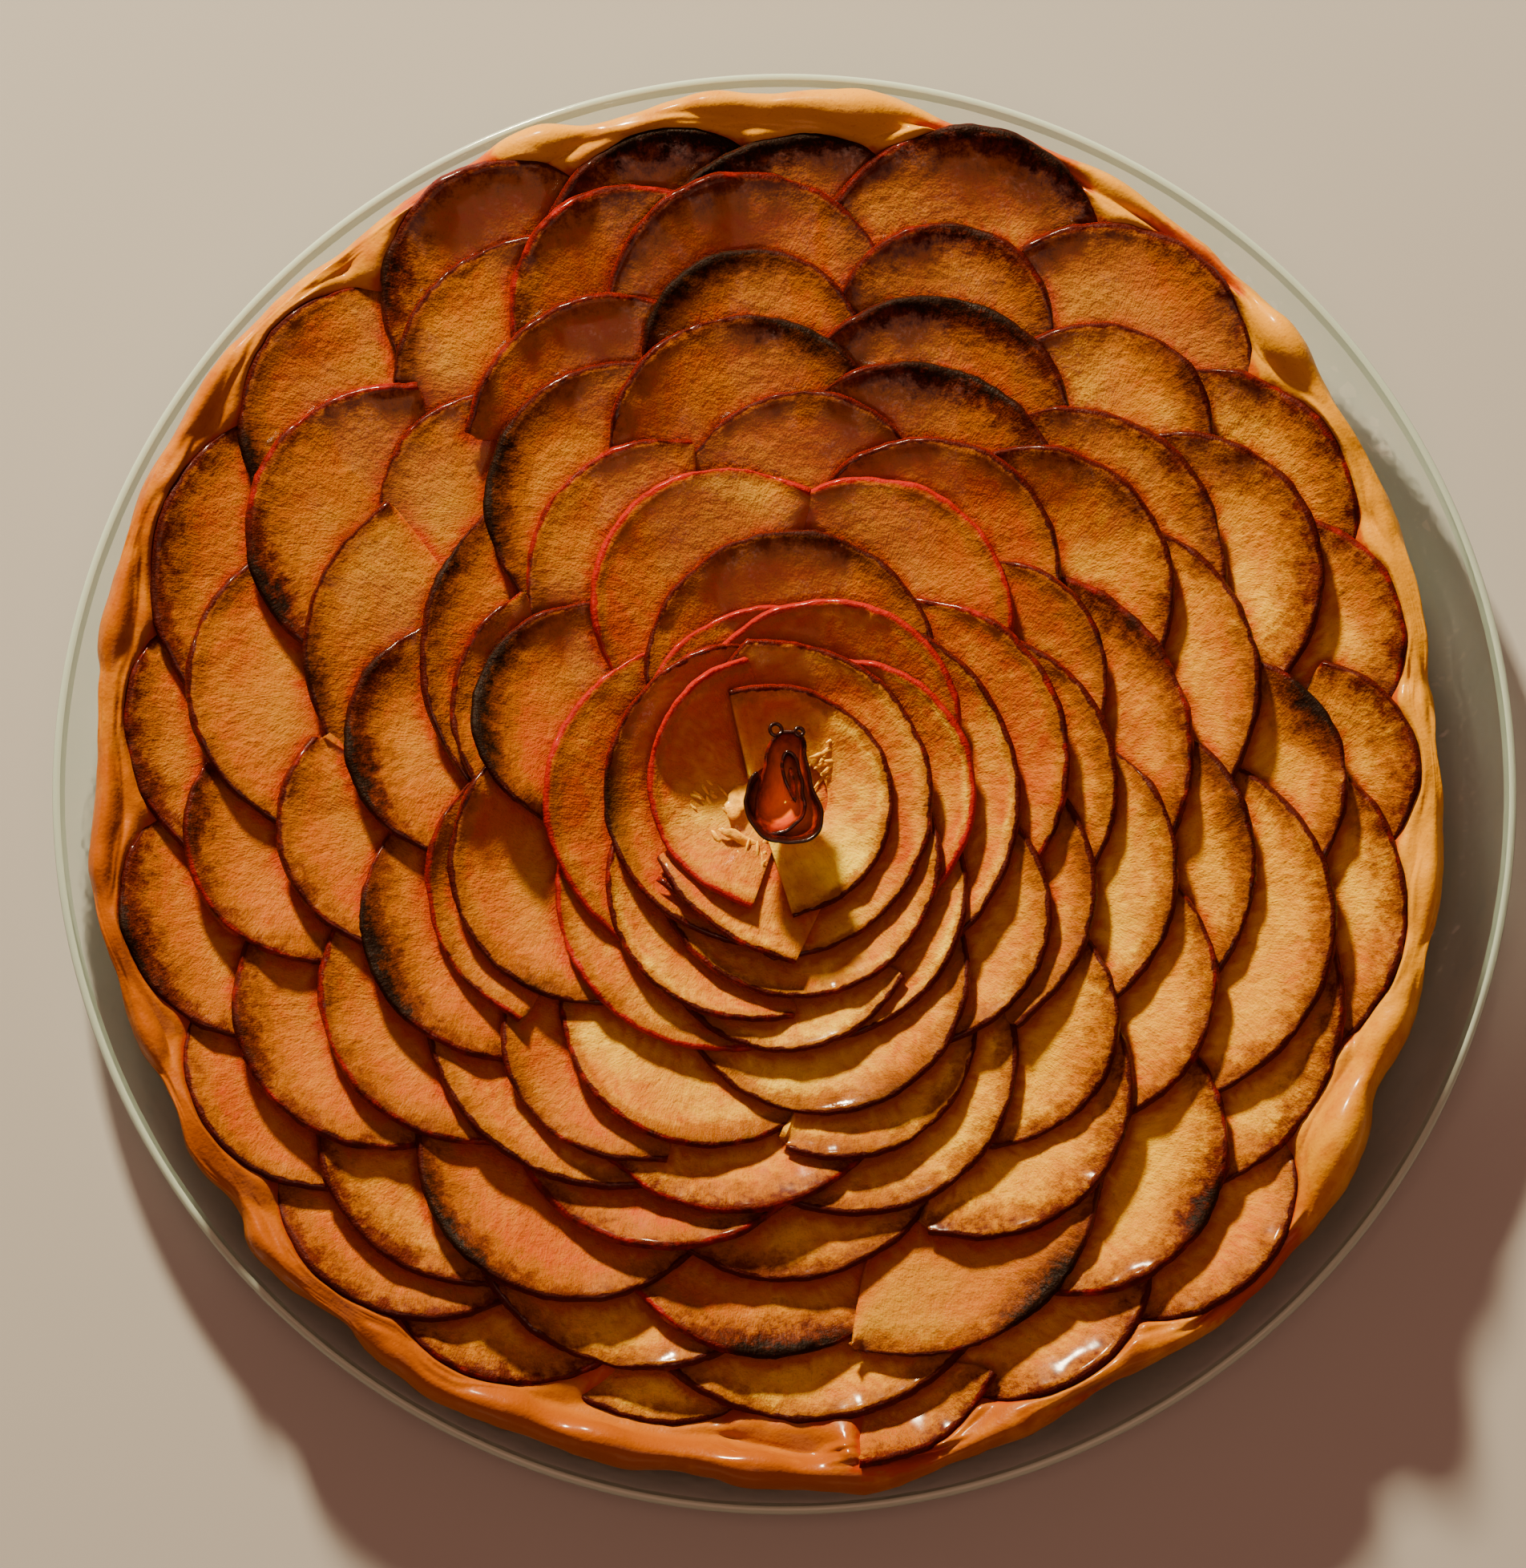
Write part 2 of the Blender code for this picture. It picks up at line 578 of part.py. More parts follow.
def join_slices(lower, upper, joint):
    """One closed mesh of two slices with a short square post between them."""
    margin, cell, low_number, high_number = joint
    middle = np.array(cell) * CELL - HALF + CELL / 2
    half = min(0.8, 0.5 * margin)
    low_points, low_tops, low_bottoms, low_walls = slice_mesh(lower)
    up_points, up_tops, up_bottoms, up_walls = slice_mesh(upper)
    offset = len(low_points)
    points = low_points + up_points
    faces = low_bottoms + low_walls
    faces += [tuple(k + offset for k in face) for face in up_tops + up_walls]
    low_tri = low_tops[low_number]
    up_tri = tuple(k + offset for k in up_bottoms[high_number])
    faces += [face for k, face in enumerate(low_tops) if k != low_number]
    faces += [tuple(v + offset for v in f) for k, f in enumerate(up_bottoms) if k != high_number]
    squares = []
    for tri in (low_tri, up_tri):
        corners = np.array([points[k] for k in tri])
        plane = np.linalg.solve(np.column_stack([corners[:, :2], np.ones(3)]), corners[:, 2])
        square = []
        for sx, sy in ((-1, -1), (1, -1), (1, 1), (-1, 1)):
            x, y = middle[0] + sx * half, middle[1] + sy * half
            square.append(len(points))
            points.append((x, y, plane @ (x, y, 1.0)))
        squares.append(square)
        faces += ring_round(tri, square, points, middle)
    low_square, up_square = squares
    for k in range(4):
        n = (k + 1) % 4
        faces.append((low_square[k], low_square[n], up_square[n]))
        faces.append((low_square[k], up_square[n], up_square[k]))
    return points, faces


# ---------------------------------------------------------------- the crust


def swell(bearing, middle, half_width):
    """A smooth bump round the rim: 1 at its middle, fading to 0 on both sides."""
    off = (bearing - middle + 180) % 360 - 180
    return math.exp(-((off / half_width) ** 2))


def rim_limits(pieces):
    """How far the crust reaches, and where the slices leave off, round the tart."""
    outer, inner = [], []
    reach = np.array(RIM_REACH, dtype=float)
    for step in range(CRUST_STEPS):
        bearing = 360.0 * step / CRUST_STEPS
        place = bearing / 7.5
        k = int(place) % len(reach)
        t = place - int(place)
        ease = 0.5 * t + 0.5 * t * t * (3 - 2 * t)
        r = reach[k] * (1 - ease) + reach[(k + 1) % len(reach)] * ease
        r += 0.7 * wobble(bearing * 0.13, 4)
        r += sum(out * swell(bearing, at, wide) for at, wide, out, _ in RIM_LUMPS)
        outer.append(min(r, DISH_LIMIT))
    for step in range(CRUST_STEPS):
        bearing = 360.0 * step / CRUST_STEPS
        far = 100.0
        for piece in pieces:
            if piece["ring"] not in ("outer", "second"):
                continue
            at = [plan_point(piece, b) for b in np.linspace(piece["low"], piece["high"], 30)]
            at = np.array(at)
            away = np.degrees(np.arctan2(at[:, 0], at[:, 1])) - bearing
            away = (away + 180) % 360 - 180
            near = np.abs(away) < 1.9
            if near.any():
                far = max(far, np.hypot(at[near, 0], at[near, 1]).max())
        inner.append(far)
    inner = np.array(inner)
    wide = np.concatenate([inner[-1:], inner, inner[:1]])
    inner = 0.5 * inner + 0.25 * (wide[:-2] + wide[2:])
    return np.array(outer), inner


def dish_height(reach):
    return float(np.interp(reach, [p[0] for p in DISH_INSIDE], [p[1] for p in DISH_INSIDE]))


def crust_profile(pieces):
    """Reach and height of every row of the crust, for each step round it."""
    outer, inner = rim_limits(pieces)
    rows = []
    for step in range(CRUST_STEPS):
        bearing = 360.0 * step / CRUST_STEPS
        out = outer[step]
        most = RIM_MOST + RIM_WIDER * swell(bearing, 2, 16)
        foot = min(max(inner[step], out - most), out - RIM_LEAST)
        room = out - foot
        share = min(max((room - RIM_LEAST) / 5.0, 0.0), 1.0)
        crest = RIM_LOW + share * (RIM_HEIGHT - RIM_LOW) + 0.9 * wobble(bearing * 0.09, 5)
        crest += sum(up * swell(bearing, at, wide) for at, wide, _, up in RIM_LUMPS)
        width = out - foot
        x, y = toward(bearing) * (out - 2.0) + np.array(TART_SHIFT)
        under = dish_height(math.hypot(x, y)) + 0.9
        x, y = toward(bearing) * 131.0 + np.array(TART_SHIFT)
        slope = dish_height(math.hypot(x, y)) + 0.5
        bank = FILL_LEVEL + WALL_BANK
        rows.append([
            (0.0, FILL_LEVEL + FILL_DOME),
            (foot - 6.0, FILL_LEVEL),
            (foot, bank),
            (foot + 0.22 * width, bank + 0.66 * (crest - bank)),
            (foot + 0.46 * width, crest - 0.5),
            (foot + 0.68 * width, crest),
            (foot + 0.88 * width, crest - 2.2),
            (out, BULGE_HEIGHT + 0.35 * (crest - 24.0)),
            (out - 2.0, max(under, 13.4)),
            (131.0, slope),
            (CRUST_FOOT, 4.0 + GAP),
            (0.0, 4.0 + GAP),
        ])
    return rows


# ---------------------------------------------------------------- the peel curl


def curl_mesh(pile):
    """A strip of peel wound in a drop-shaped spiral, narrow at its foot."""
    cx, cy = CURL_AT
    x, y = cells_of((cx, cy))
    foot_cells = int(12.6 * CURL_WAIST / CELL)
    around = int(15.0 / CELL)
    foot = pile.top[y - foot_cells:y + foot_cells, x - foot_cells:x + foot_cells].max() + GAP
    shelf = pile.top[y - around:y + around, x - around:x + around].max() + GAP
    mouth = shelf + CURL_ABOVE
    levels = [
        (foot, CURL_WAIST), (max(shelf + 0.4, foot + 1.0), CURL_WAIST + 0.05),
        (shelf + 0.5 * CURL_ABOVE, 0.86), (mouth, 1.0),
    ]
    bearings = [p[0] for p in CURL_LOOP]
    reaches = [p[1] for p in CURL_LOOP]
    points = []
    for k in range(CURL_STEPS + 1):
        share = k / CURL_STEPS
        bearing = 205.0 + 360.0 * CURL_TURNS * share
        size = 1.0 + (CURL_INNER - 1.0) * share ** 0.8
        loop = float(np.interp(bearing % 360.0, bearings, reaches)) * size
        wave = 0.8 * wobble(share * 7.0, 6)
        for level, (height, scale) in enumerate(levels):
            tall = height + (wave + 1.2 * math.cos(math.radians(bearing))) * (level / 3) ** 2
            if level == 3:
                tall -= 1.5 * share
            for side in (0.5, -0.5):
                reach = loop * scale + side * CURL_THICK
                px, py = toward(bearing) * reach
                points.append((cx + px, cy + py, tall))
    faces = []
    per = 2 * len(levels)
    ring = [0, 2, 4, 6, 7, 5, 3, 1]
    for k in range(CURL_STEPS):
        for n, a in enumerate(ring):
            b = ring[(n + 1) % len(ring)]
            p, q = k * per + a, k * per + b
            faces.append((p, q, q + per))
            faces.append((p, q + per, p + per))
    for k in (0, CURL_STEPS):
        for level in range(len(levels) - 1):
            a = k * per + 2 * level
            faces.append((a, a + 1, a + 3))
            faces.append((a, a + 3, a + 2))
    return points, faces


# ---------------------------------------------------------------- build everything


def build():
    clear_scene()
    glass = material("clear_glass", (0.93, 0.97, 0.94), 0.05, 1.0)
    crust = material("baked_crust", (0.80, 0.42, 0.10), 0.45)
    peel = material("dried_peel", (0.30, 0.05, 0.02), 0.30)
    apple = material("baked_apple", (0.78, 0.40, 0.12), 0.38)

    profile = DISH_INSIDE + DISH_OUTSIDE
    points, faces = lathe(lambda step, row: profile[row], len(profile), DISH_STEPS)
    add_piece("glass_dish", points, faces, glass)

    pieces = read_layout()
    cover = np.zeros((SIDE, SIDE), dtype=bool)
    for piece in reversed(pieces):
        shape_plan(piece, cover)

    rows = crust_profile(pieces)
    count = len(rows[0])
    points, faces = lathe(lambda step, row: rows[step][row], count, CRUST_STEPS)
    add_piece("pastry_crust", points, faces, crust, shift=TART_SHIFT)
    pile = Pile()
    upper = [f for f in faces if is_upper(f, points, count)]
    pile.add(points, upper, -1)

    for piece in pieces:
        lay(piece, pile)
    joints = choose_joints(pieces)
    for piece in pieces:
        number = piece["number"]
        if number in joints and joints[number] is None:
            continue
        name = "slice_" + piece["name"]
        if number in joints:
            other, joint = joints[number]
            points, faces = join_slices(piece, pieces[other], joint)
            name += "_and_" + pieces[other]["name"]
        else:
            points, tops, bottoms, walls = slice_mesh(piece)
            faces = tops + bottoms + walls
        add_piece(name, points, faces, apple, smooth=False, shift=TART_SHIFT)

    points, faces = curl_mesh(pile)
    add_piece("peel_curl", points, faces, peel, shift=TART_SHIFT)
    print("slices", len(pieces), "nodes", len(bpy.data.objects))
    print("highest point of the slices", round(float(pile.top.max()), 1))


def is_upper(face, points, count):
    """True for the crust's facets from its middle out to its widest point."""
    steps = CRUST_STEPS
    rows = [7 if k < 7 * steps else 8 for k in face if k < (count - 2) * steps]
    return all(r == 7 for r in rows) and (count - 2) * steps + 1 not in face


build()
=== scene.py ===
# %% [markdown]
# A round apple tart in its shallow clear glass dish.  The solid model already holds the true
# sizes: one crust, a hundred and one thin apple slices laid like a rose, a curl of dried peel
# in the middle, and the dish.  This lesson turns those plain facets into baked food: slices
# with soft, wavy, browned rims, a blistered golden crust, and pressed glass that catches light.

import math
import random

import bmesh
import bpy
import numpy as np
from mathutils import Matrix, Vector, kdtree, noise
from mathutils.bvhtree import BVHTree


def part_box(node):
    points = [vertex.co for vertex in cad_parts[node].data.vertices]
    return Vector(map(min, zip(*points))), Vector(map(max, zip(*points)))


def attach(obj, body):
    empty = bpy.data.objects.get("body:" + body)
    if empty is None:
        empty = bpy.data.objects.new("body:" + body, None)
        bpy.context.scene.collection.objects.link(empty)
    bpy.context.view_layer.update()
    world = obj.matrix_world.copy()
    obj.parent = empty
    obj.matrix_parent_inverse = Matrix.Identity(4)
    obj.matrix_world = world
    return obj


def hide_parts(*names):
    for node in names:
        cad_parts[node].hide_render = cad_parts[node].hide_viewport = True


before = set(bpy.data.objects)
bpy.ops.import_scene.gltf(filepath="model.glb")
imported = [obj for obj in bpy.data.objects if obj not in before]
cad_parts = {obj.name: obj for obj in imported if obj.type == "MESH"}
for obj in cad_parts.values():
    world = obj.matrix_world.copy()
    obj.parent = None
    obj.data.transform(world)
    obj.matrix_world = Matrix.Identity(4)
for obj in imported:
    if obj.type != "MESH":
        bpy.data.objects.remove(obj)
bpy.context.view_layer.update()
MM = 0.001
SEED = 11
DISH_LOW, DISH_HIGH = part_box("glass_dish")
CRUST_LOW, CRUST_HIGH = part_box("pastry_crust")
CURL_LOW, CURL_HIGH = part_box("peel_curl")


def plan_middle(low, high):
    """The middle of a box seen from above."""
    return Vector(((low[0] + high[0]) / 2, (low[1] + high[1]) / 2, 0.0))


MIDDLE = plan_middle(CURL_LOW, CURL_HIGH)
print("nodes", len(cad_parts), "dish width in mm", round((DISH_HIGH[0] - DISH_LOW[0]) / MM))

# %% [markdown]
# ## From a faceted solid back to single slices
# The solid model joins most slices in pairs with a tiny square spot of glaze, and its mesh
# comes as loose triangles.  A copy is merged, the spot is taken out, and the hole it leaves is
# closed.  What stays is one clean, coarse solid for each slice, in its true place.

# %% A merged copy of a solid
SAME_SPOT = 0.01 * MM  # points closer than this are one point


def merged_copy(node):
    """A bmesh of the node's own mesh, with its loose triangles joined up."""
    bm = bmesh.new()
    bm.from_mesh(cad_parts[node].data)
    bmesh.ops.remove_doubles(bm, verts=bm.verts, dist=SAME_SPOT)
    return bm


def face_outwards(bm):
    """Turn every face of a closed body outwards."""
    bmesh.ops.recalc_face_normals(bm, faces=bm.faces)


def join_triangles(bm):
    """Turn the triangles back into the larger faces that they were cut from."""
    bmesh.ops.join_triangles(
        bm, faces=bm.faces, angle_face_threshold=math.pi, angle_shape_threshold=math.pi
    )


# %% Find and remove the spot of glaze between two slices
SPOT_SIDE = (0.1 * MM, 1.7 * MM)  # least and most side of the square spot
UPRIGHT = 0.004 * MM  # an upright edge leans by less than this


def upright_edges(bm):
    """Vertical edges as (x, y, lower vertex, upper vertex)."""
    found = []
    for edge in bm.edges:
        a, b = edge.verts
        if max(abs(a.co.x - b.co.x), abs(a.co.y - b.co.y)) < UPRIGHT:
            low, high = (a, b) if a.co.z < b.co.z else (b, a)
            found.append((low.co.x, low.co.y, low, high))
    return found


def spot_corners(bm):
    """The four lower and four upper corners of the square spot, or two empty lists."""
    posts = upright_edges(bm)

    def post_at(x, y):
        for post in posts:
            if abs(post[0] - x) < SAME_SPOT and abs(post[1] - y) < SAME_SPOT:
                return post
        return None

    for first in posts:
        for second in posts:
            side = second[0] - first[0]
            if abs(second[1] - first[1]) > SAME_SPOT or not SPOT_SIDE[0] < side < SPOT_SIDE[1]:
                continue
            third, fourth = (post_at(p[0], p[1] + side) for p in (first, second))
            if third and fourth:
                square = (first, second, fourth, third)
                return [p[2] for p in square], [p[3] for p in square]
    return [], []


def remove_spot(bm):
    """Take the spot out and close both slices.  Returns a vertex of the lower slice."""
    low, high = spot_corners(bm)
    if not low:
        return None
    both = set(low + high)
    walls = [f for f in bm.faces if all(v in both for v in f.verts)]
    bmesh.ops.delete(bm, geom=walls, context="FACES")
    keep = low[0].co.copy()
    for square in (low, high):
        bmesh.ops.contextual_create(bm, geom=square)
        bmesh.ops.dissolve_verts(bm, verts=square)
    bm.verts.ensure_lookup_table()
    return min(bm.verts, key=lambda v: (v.co - keep).length)


# %% Split a node into its slices
def islands(bm):
    """Groups of connected vertices."""
    groups, seen = [], set()
    for start in bm.verts:
        if start in seen:
            continue
        group, todo = set(), [start]
        seen.add(start)
        while todo:
            vert = todo.pop()
            group.add(vert)
            for edge in vert.link_edges:
                other = edge.other_vert(vert)
                if other not in seen:
                    seen.add(other)
                    todo.append(other)
        groups.append(group)
    return groups


def single_slices(node):
    """(slice name, bmesh) for the one or two slices in a node."""
    bm = merged_copy(node)
    names = node.removeprefix("slice_").split("_and_")
    lower = remove_spot(bm)
    groups = islands(bm)
    if lower is not None:
        groups.sort(key=lambda group: lower not in group)
    bm.verts.index_update()
    parts = []
    for name, group in zip(names, groups):
        keep = {v.index for v in group}
        part = bm.copy()
        rest = [v for v in part.verts if v.index not in keep]
        bmesh.ops.delete(part, geom=rest, context="VERTS")
        face_outwards(part)
        parts.append((name, part))
    bm.free()
    return parts


SLICES = []
for node in sorted(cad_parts):
    if node.startswith("slice_"):
        SLICES += [(node, name, bm) for name, bm in single_slices(node)]
print("single slices", len(SLICES))

# %% [markdown]
# ## Refining one slice
# A baked slice is a thin sheet whose rim waves and lifts where it dried.  The upper face of
# the solid is kept as a sheet and smoothed by subdivision; every point then knows how far it
# lies from the peel, which drives both the shape of the rim and the browning.

# %% Walk round the rim of a sheet
IN_LINE = 1e-12  # three points with a smaller cross product lie in one line


def rim_loop(bm):
    """Rim vertices of an open sheet, in order."""
    vert = next(e for e in bm.edges if e.is_boundary).verts[0]
    loop, used = [vert], set()
    while True:
        step = next((e for e in vert.link_edges if e.is_boundary and e not in used), None)
        if step is None:
            break
        used.add(step)
        vert = step.other_vert(vert)
        loop.append(vert)
    return loop[:-1]


def plan_turn(a, b, c):
    """How sharply a rim turns at b, seen from above, in radians."""
    return abs((b.co - a.co).to_2d().angle_signed((c.co - b.co).to_2d(), 0.0))


def circle_through(a, b, c):
    """Middle and radius of the circle through three points, seen from above."""
    p, q = (b - a).to_2d(), (c - a).to_2d()
    cross = 2 * (p.x * q.y - p.y * q.x)
    if abs(cross) < IN_LINE:
        return None, 0.0
    x = (q.y * p.length_squared - p.y * q.length_squared) / cross
    y = (p.x * q.length_squared - q.x * p.length_squared) / cross
    return a.to_2d() + Vector((x, y)), math.hypot(x, y)


# %% Find the peel edge of a sheet
PEEL_ROUND = (20 * MM, 46 * MM)  # an apple's peel curves no tighter and no flatter than this
ON_CIRCLE = 0.03 * MM  # a point of the peel lies this close to its circle
SHARP_TURN = math.radians(52)  # the rim turns this sharply where the peel ends
FACES_UP = 0.25  # least upward share of an upper face's normal


def peel_run(loop):
    """Numbers of the rim vertices on the peel: the longest run on one circle, to its ends."""
    count, best = len(loop), (0, 0)
    for start in range(count):
        three = [loop[(start + k) % count].co for k in range(3)]
        middle, reach = circle_through(*three)
        if middle is None or not PEEL_ROUND[0] < reach < PEEL_ROUND[1]:
            continue
        size = 3
        while size < count:
            point = loop[(start + size) % count].co.to_2d()
            if abs((point - middle).length - reach) > ON_CIRCLE:
                break
            size += 1
        away = (middle - MIDDLE.to_2d()).length
        if (three[1].to_2d() - MIDDLE.to_2d()).length + reach < away:
            continue
        best = max(best, (size, start))
    size, start = best
    first, last = start, start + size - 1

    def turn(k):
        return plan_turn(*(loop[n % count] for n in (k - 1, k, k + 1)))

    while turn(first) < SHARP_TURN and last - first < count - 3:
        first -= 1
    while turn(last) < SHARP_TURN and last - first < count - 3:
        last += 1
    return [n % count for n in range(first, last + 1)]


def sheet_of(bm):
    """Keep the upper faces only.  Returns the thickness and the points of the peel."""
    thick = max(high.co.z - low.co.z for _, _, low, high in upright_edges(bm))
    rest = [f for f in bm.faces if f.normal.z < FACES_UP]
    bmesh.ops.delete(bm, geom=rest, context="FACES")
    join_triangles(bm)
    loop = rim_loop(bm)
    return thick, [loop[k].co.copy() for k in peel_run(loop)]


print("sheet helpers ready")

# %% Smooth a coarse mesh
def in_scene(name, data):
    """A new object in the scene, with the given mesh, light or camera."""
    made = bpy.data.objects.new(name, data)
    bpy.context.scene.collection.objects.link(made)
    return made


def new_object(bm, name):
    """A finished mesh as an object of the scene."""
    mesh = bpy.data.meshes.new(name)
    bm.to_mesh(mesh)
    bm.free()
    return in_scene(name, mesh)


def smoothed(bm, levels):
    """The same mesh after Catmull-Clark subdivision."""
    holder = new_object(bm, "coarse")
    mesh = holder.data
    soften = holder.modifiers.new("soften", "SUBSURF")
    soften.levels = soften.render_levels = levels
    soften.boundary_smooth = "PRESERVE_CORNERS"
    graph = bpy.context.evaluated_depsgraph_get()
    fine = bpy.data.meshes.new_from_object(holder.evaluated_get(graph))
    out = bmesh.new()
    out.from_mesh(fine)
    bpy.data.objects.remove(holder)
    bpy.data.meshes.remove(mesh)
    bpy.data.meshes.remove(fine)
    return out


def peel_line(bm, peel):
    """Points along the peel edge of a smoothed sheet, clockwise round the tart."""
    loop = rim_loop(bm)

    def nearest(end):
        return min(range(len(loop)), key=lambda k: (loop[k].co - end).length)

    first, second = sorted((nearest(peel[0]), nearest(peel[-1])))
    one = loop[first:second + 1]
    other = loop[second:] + loop[:first + 1]
    middle = peel[len(peel) // 2]

    def miss(part):
        return min((v.co - middle).length for v in part)

    line = [v.co.copy() for v in (one if miss(one) < miss(other) else other)]
    a, b = (line[0] - MIDDLE).to_2d(), (line[len(line) // 2] - MIDDLE).to_2d()
    return line if a.x * b.y - a.y * b.x < 0 else line[::-1]


# %% Distance from the peel, for every point
PEEL_STEP = 0.4 * MM  # spacing of the points along the peel line


def peel_finder(line):
    """A search tree over the peel line, the length up to each of its points, and its length."""
    points, along, run = [], [], 0.0
    for a, b in zip(line, line[1:]):
        pieces = max(1, math.ceil((b - a).length / PEEL_STEP))
        for k in range(pieces):
            points.append(a.lerp(b, k / pieces))
            along.append(run + (b - a).length * k / pieces)
        run += (b - a).length
    points.append(line[-1])
    along.append(run)
    tree = kdtree.KDTree(len(points))
    for k, point in enumerate(points):
        tree.insert((point.x, point.y, 0.0), k)
    tree.balance()
    return tree, along, run


def peel_place(finder, point):
    """(length along the peel, distance in from it) of the nearest spot, in metres."""
    tree, along, _ = finder
    spot, k, distance = tree.find((point.x, point.y, 0.0))
    outside = (point - spot).to_2d().dot((spot - MIDDLE).to_2d()) > 0
    return along[k], -distance if outside else distance


print("finder ready")

# %% [markdown]
# ## Waves, warps and a rounded rim
# The oven dries a slice from its edge: the rim ripples and lifts here and there.  Noise with
# a size of a few millimetres moves the points up and down, most strongly near the peel.  Then
# the sheet gets its thickness, and a narrow bevel rounds the rim to catch the light.

# %% Wave the rim and thicken the sheet
def ripple(point, size, channel):
    """Smooth unevenness between about -1 and 1, with bumps of the given size in mm."""
    size = size * MM
    return noise.noise(Vector((point.x / size, point.y / size, channel * 7.3 + SEED)))


RIM_SOFT = 0.22 * MM  # width of the rounding along the rim
RIM_BEND = 0.9  # in radians: a blunter edge than this is not part of the rim
THINNED = 0.5  # share of the thickness that goes at the peel
# how far in from the peel a slice is
LIFT_REACH = 4.5 * MM  # lifted and waved
THIN_REACH = 1.6 * MM  # thinned
SHRINK_REACH = 1.2 * MM  # shrunk
LIP_REACH = 0.9 * MM  # raised in a narrow lip
CORE_REACH = 6.0 * MM  # radius of the punched core
PULP_REACH = 3.0 * MM  # how far out from the core the flesh is rough


def nibble(point, number):
    """How far in the dried rim has shrunk here, in metres."""
    return (ripple(point, 2.2, number + 40) * 0.30 + ripple(point, 6, number) * 0.35) * MM


def thin_towards_peel(bm, finder, thick):
    """Give the sheet its thickness, and only about half of it along the peel."""
    before = {(v.co.x, v.co.y, v.co.z) for v in bm.verts}
    bmesh.ops.solidify(bm, geom=list(bm.faces), thickness=thick)
    stayed = [v for v in bm.verts if (v.co.x, v.co.y, v.co.z) in before]
    moved = [v for v in bm.verts if (v.co.x, v.co.y, v.co.z) not in before]
    mean = [sum(v.co.z for v in group) / max(len(group), 1) for group in (stayed, moved)]
    for vert in stayed if mean[0] < mean[1] else moved:
        off = abs(peel_place(finder, vert.co)[1])
        vert.co.z += THINNED * thick * math.exp(-off / THIN_REACH)
    bm.normal_update()


def rim_edges(bm):
    """Edges where a broad face meets the narrow wall of the rim."""
    rim = []
    for edge in bm.edges:
        if len(edge.link_faces) == 2:
            flat = [abs(face.normal.z) > 0.5 for face in edge.link_faces]
            if flat[0] != flat[1] and edge.calc_face_angle(0) > RIM_BEND:
                rim.append(edge)
    return rim


def shape_slice(bm, finder, thick, number):
    """Lift and wave the sheet near its peel, then give it a body with a rounded rim."""
    chance = random.Random(SEED * 1000 + number)
    curl = chance.uniform(0.0, 0.5) * MM
    for vert in bm.verts:
        off = abs(peel_place(finder, vert.co)[1])
        near = math.exp(-off / LIFT_REACH)
        lip = math.exp(-off / LIP_REACH)
        core = max((vert.co - MIDDLE).to_2d().length - CORE_REACH, 0.0)
        pulp = ripple(vert.co, 2.4, number + 70) * 0.7 * math.exp(-core / PULP_REACH)
        wave = ripple(vert.co, 9.0, number) * 0.9 + ripple(vert.co, 4.0, number) * 0.35
        dimple = ripple(vert.co, 14.0, number + 200) * 0.45
        dimple += ripple(vert.co, 5.0, number + 300) * 0.16
        vert.co.z += near * (curl + (1.25 * wave + 0.2) * MM) + dimple * MM + 0.2 * MM * lip
        vert.co.z += (ripple(vert.co, 1.7, number + 90) * 0.06 + pulp) * MM
        inward = (MIDDLE - vert.co).to_2d().normalized() * nibble(vert.co, number)
        inward *= math.exp(-off / SHRINK_REACH)
        vert.co.x += inward.x
        vert.co.y += inward.y
    bm.normal_update()
    thin_towards_peel(bm, finder, 0.85 * thick)
    bmesh.ops.bevel(
        bm, geom=rim_edges(bm), offset=RIM_SOFT, offset_type="OFFSET", segments=2, profile=0.5,
        affect="EDGES", clamp_overlap=True, material=-1,
    )
    face_outwards(bm)


# %% Refine every slice
SUBDIVISIONS = 3
apples = []
for number, (node, name, bm) in enumerate(SLICES):
    thick, peel = sheet_of(bm)
    bm = smoothed(bm, SUBDIVISIONS)
    finder = peel_finder(peel_line(bm, peel))
    shape_slice(bm, finder, thick, number)
    piece = new_object(bm, "apple_" + name)
    piece.data.shade_smooth()
    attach(piece, "root")
    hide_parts(node)
    apples.append((name, piece, finder))
print("slices finished", len(apples), "faces", sum(len(p.data.polygons) for _, p, _ in apples))

# %% [markdown]
# ## One map of the whole pile
# Painted shade is laid in a deep orange where one slice slips under the next, and the pastry
# swells up against the outermost slices.  Both need to know what lies where, so all slices go
# into one search tree, and a plain height map is read off it from above.

# %% Search tree and height map
CELL = 1.0 * MM  # the map has one height for each square of this side
HALF = 150  # squares from its middle to its side
PILE_REACH = 148 * MM  # the map is empty farther out
SKY = 60 * MM  # above everything
DIRECTIONS = 8  # looked in from a spot


def pile_tree():
    """One search tree over all the slices."""
    verts, polys = [], []
    for _, piece, _ in apples:
        start = len(verts)
        verts += [v.co for v in piece.data.vertices]
        polys += [[start + k for k in p.vertices] for p in piece.data.polygons]
    return BVHTree.FromPolygons(verts, polys)


PILE = pile_tree()


def pile_height(x, y, otherwise):
    """Height of the pile's upper side over a plan spot."""
    hit = PILE.ray_cast((x, y, SKY), (0, 0, -1))[0]
    return hit.z if hit else otherwise


TOP = np.zeros((2 * HALF + 1, 2 * HALF + 1))
for row in range(2 * HALF + 1):
    for column in range(2 * HALF + 1):
        x, y = (column - HALF) * CELL, (row - HALF) * CELL
        if x * x + y * y < PILE_REACH ** 2:
            TOP[row, column] = pile_height(x, y, 0.0)
print("height map", TOP.shape, "highest in mm", round(TOP.max() / MM, 1))


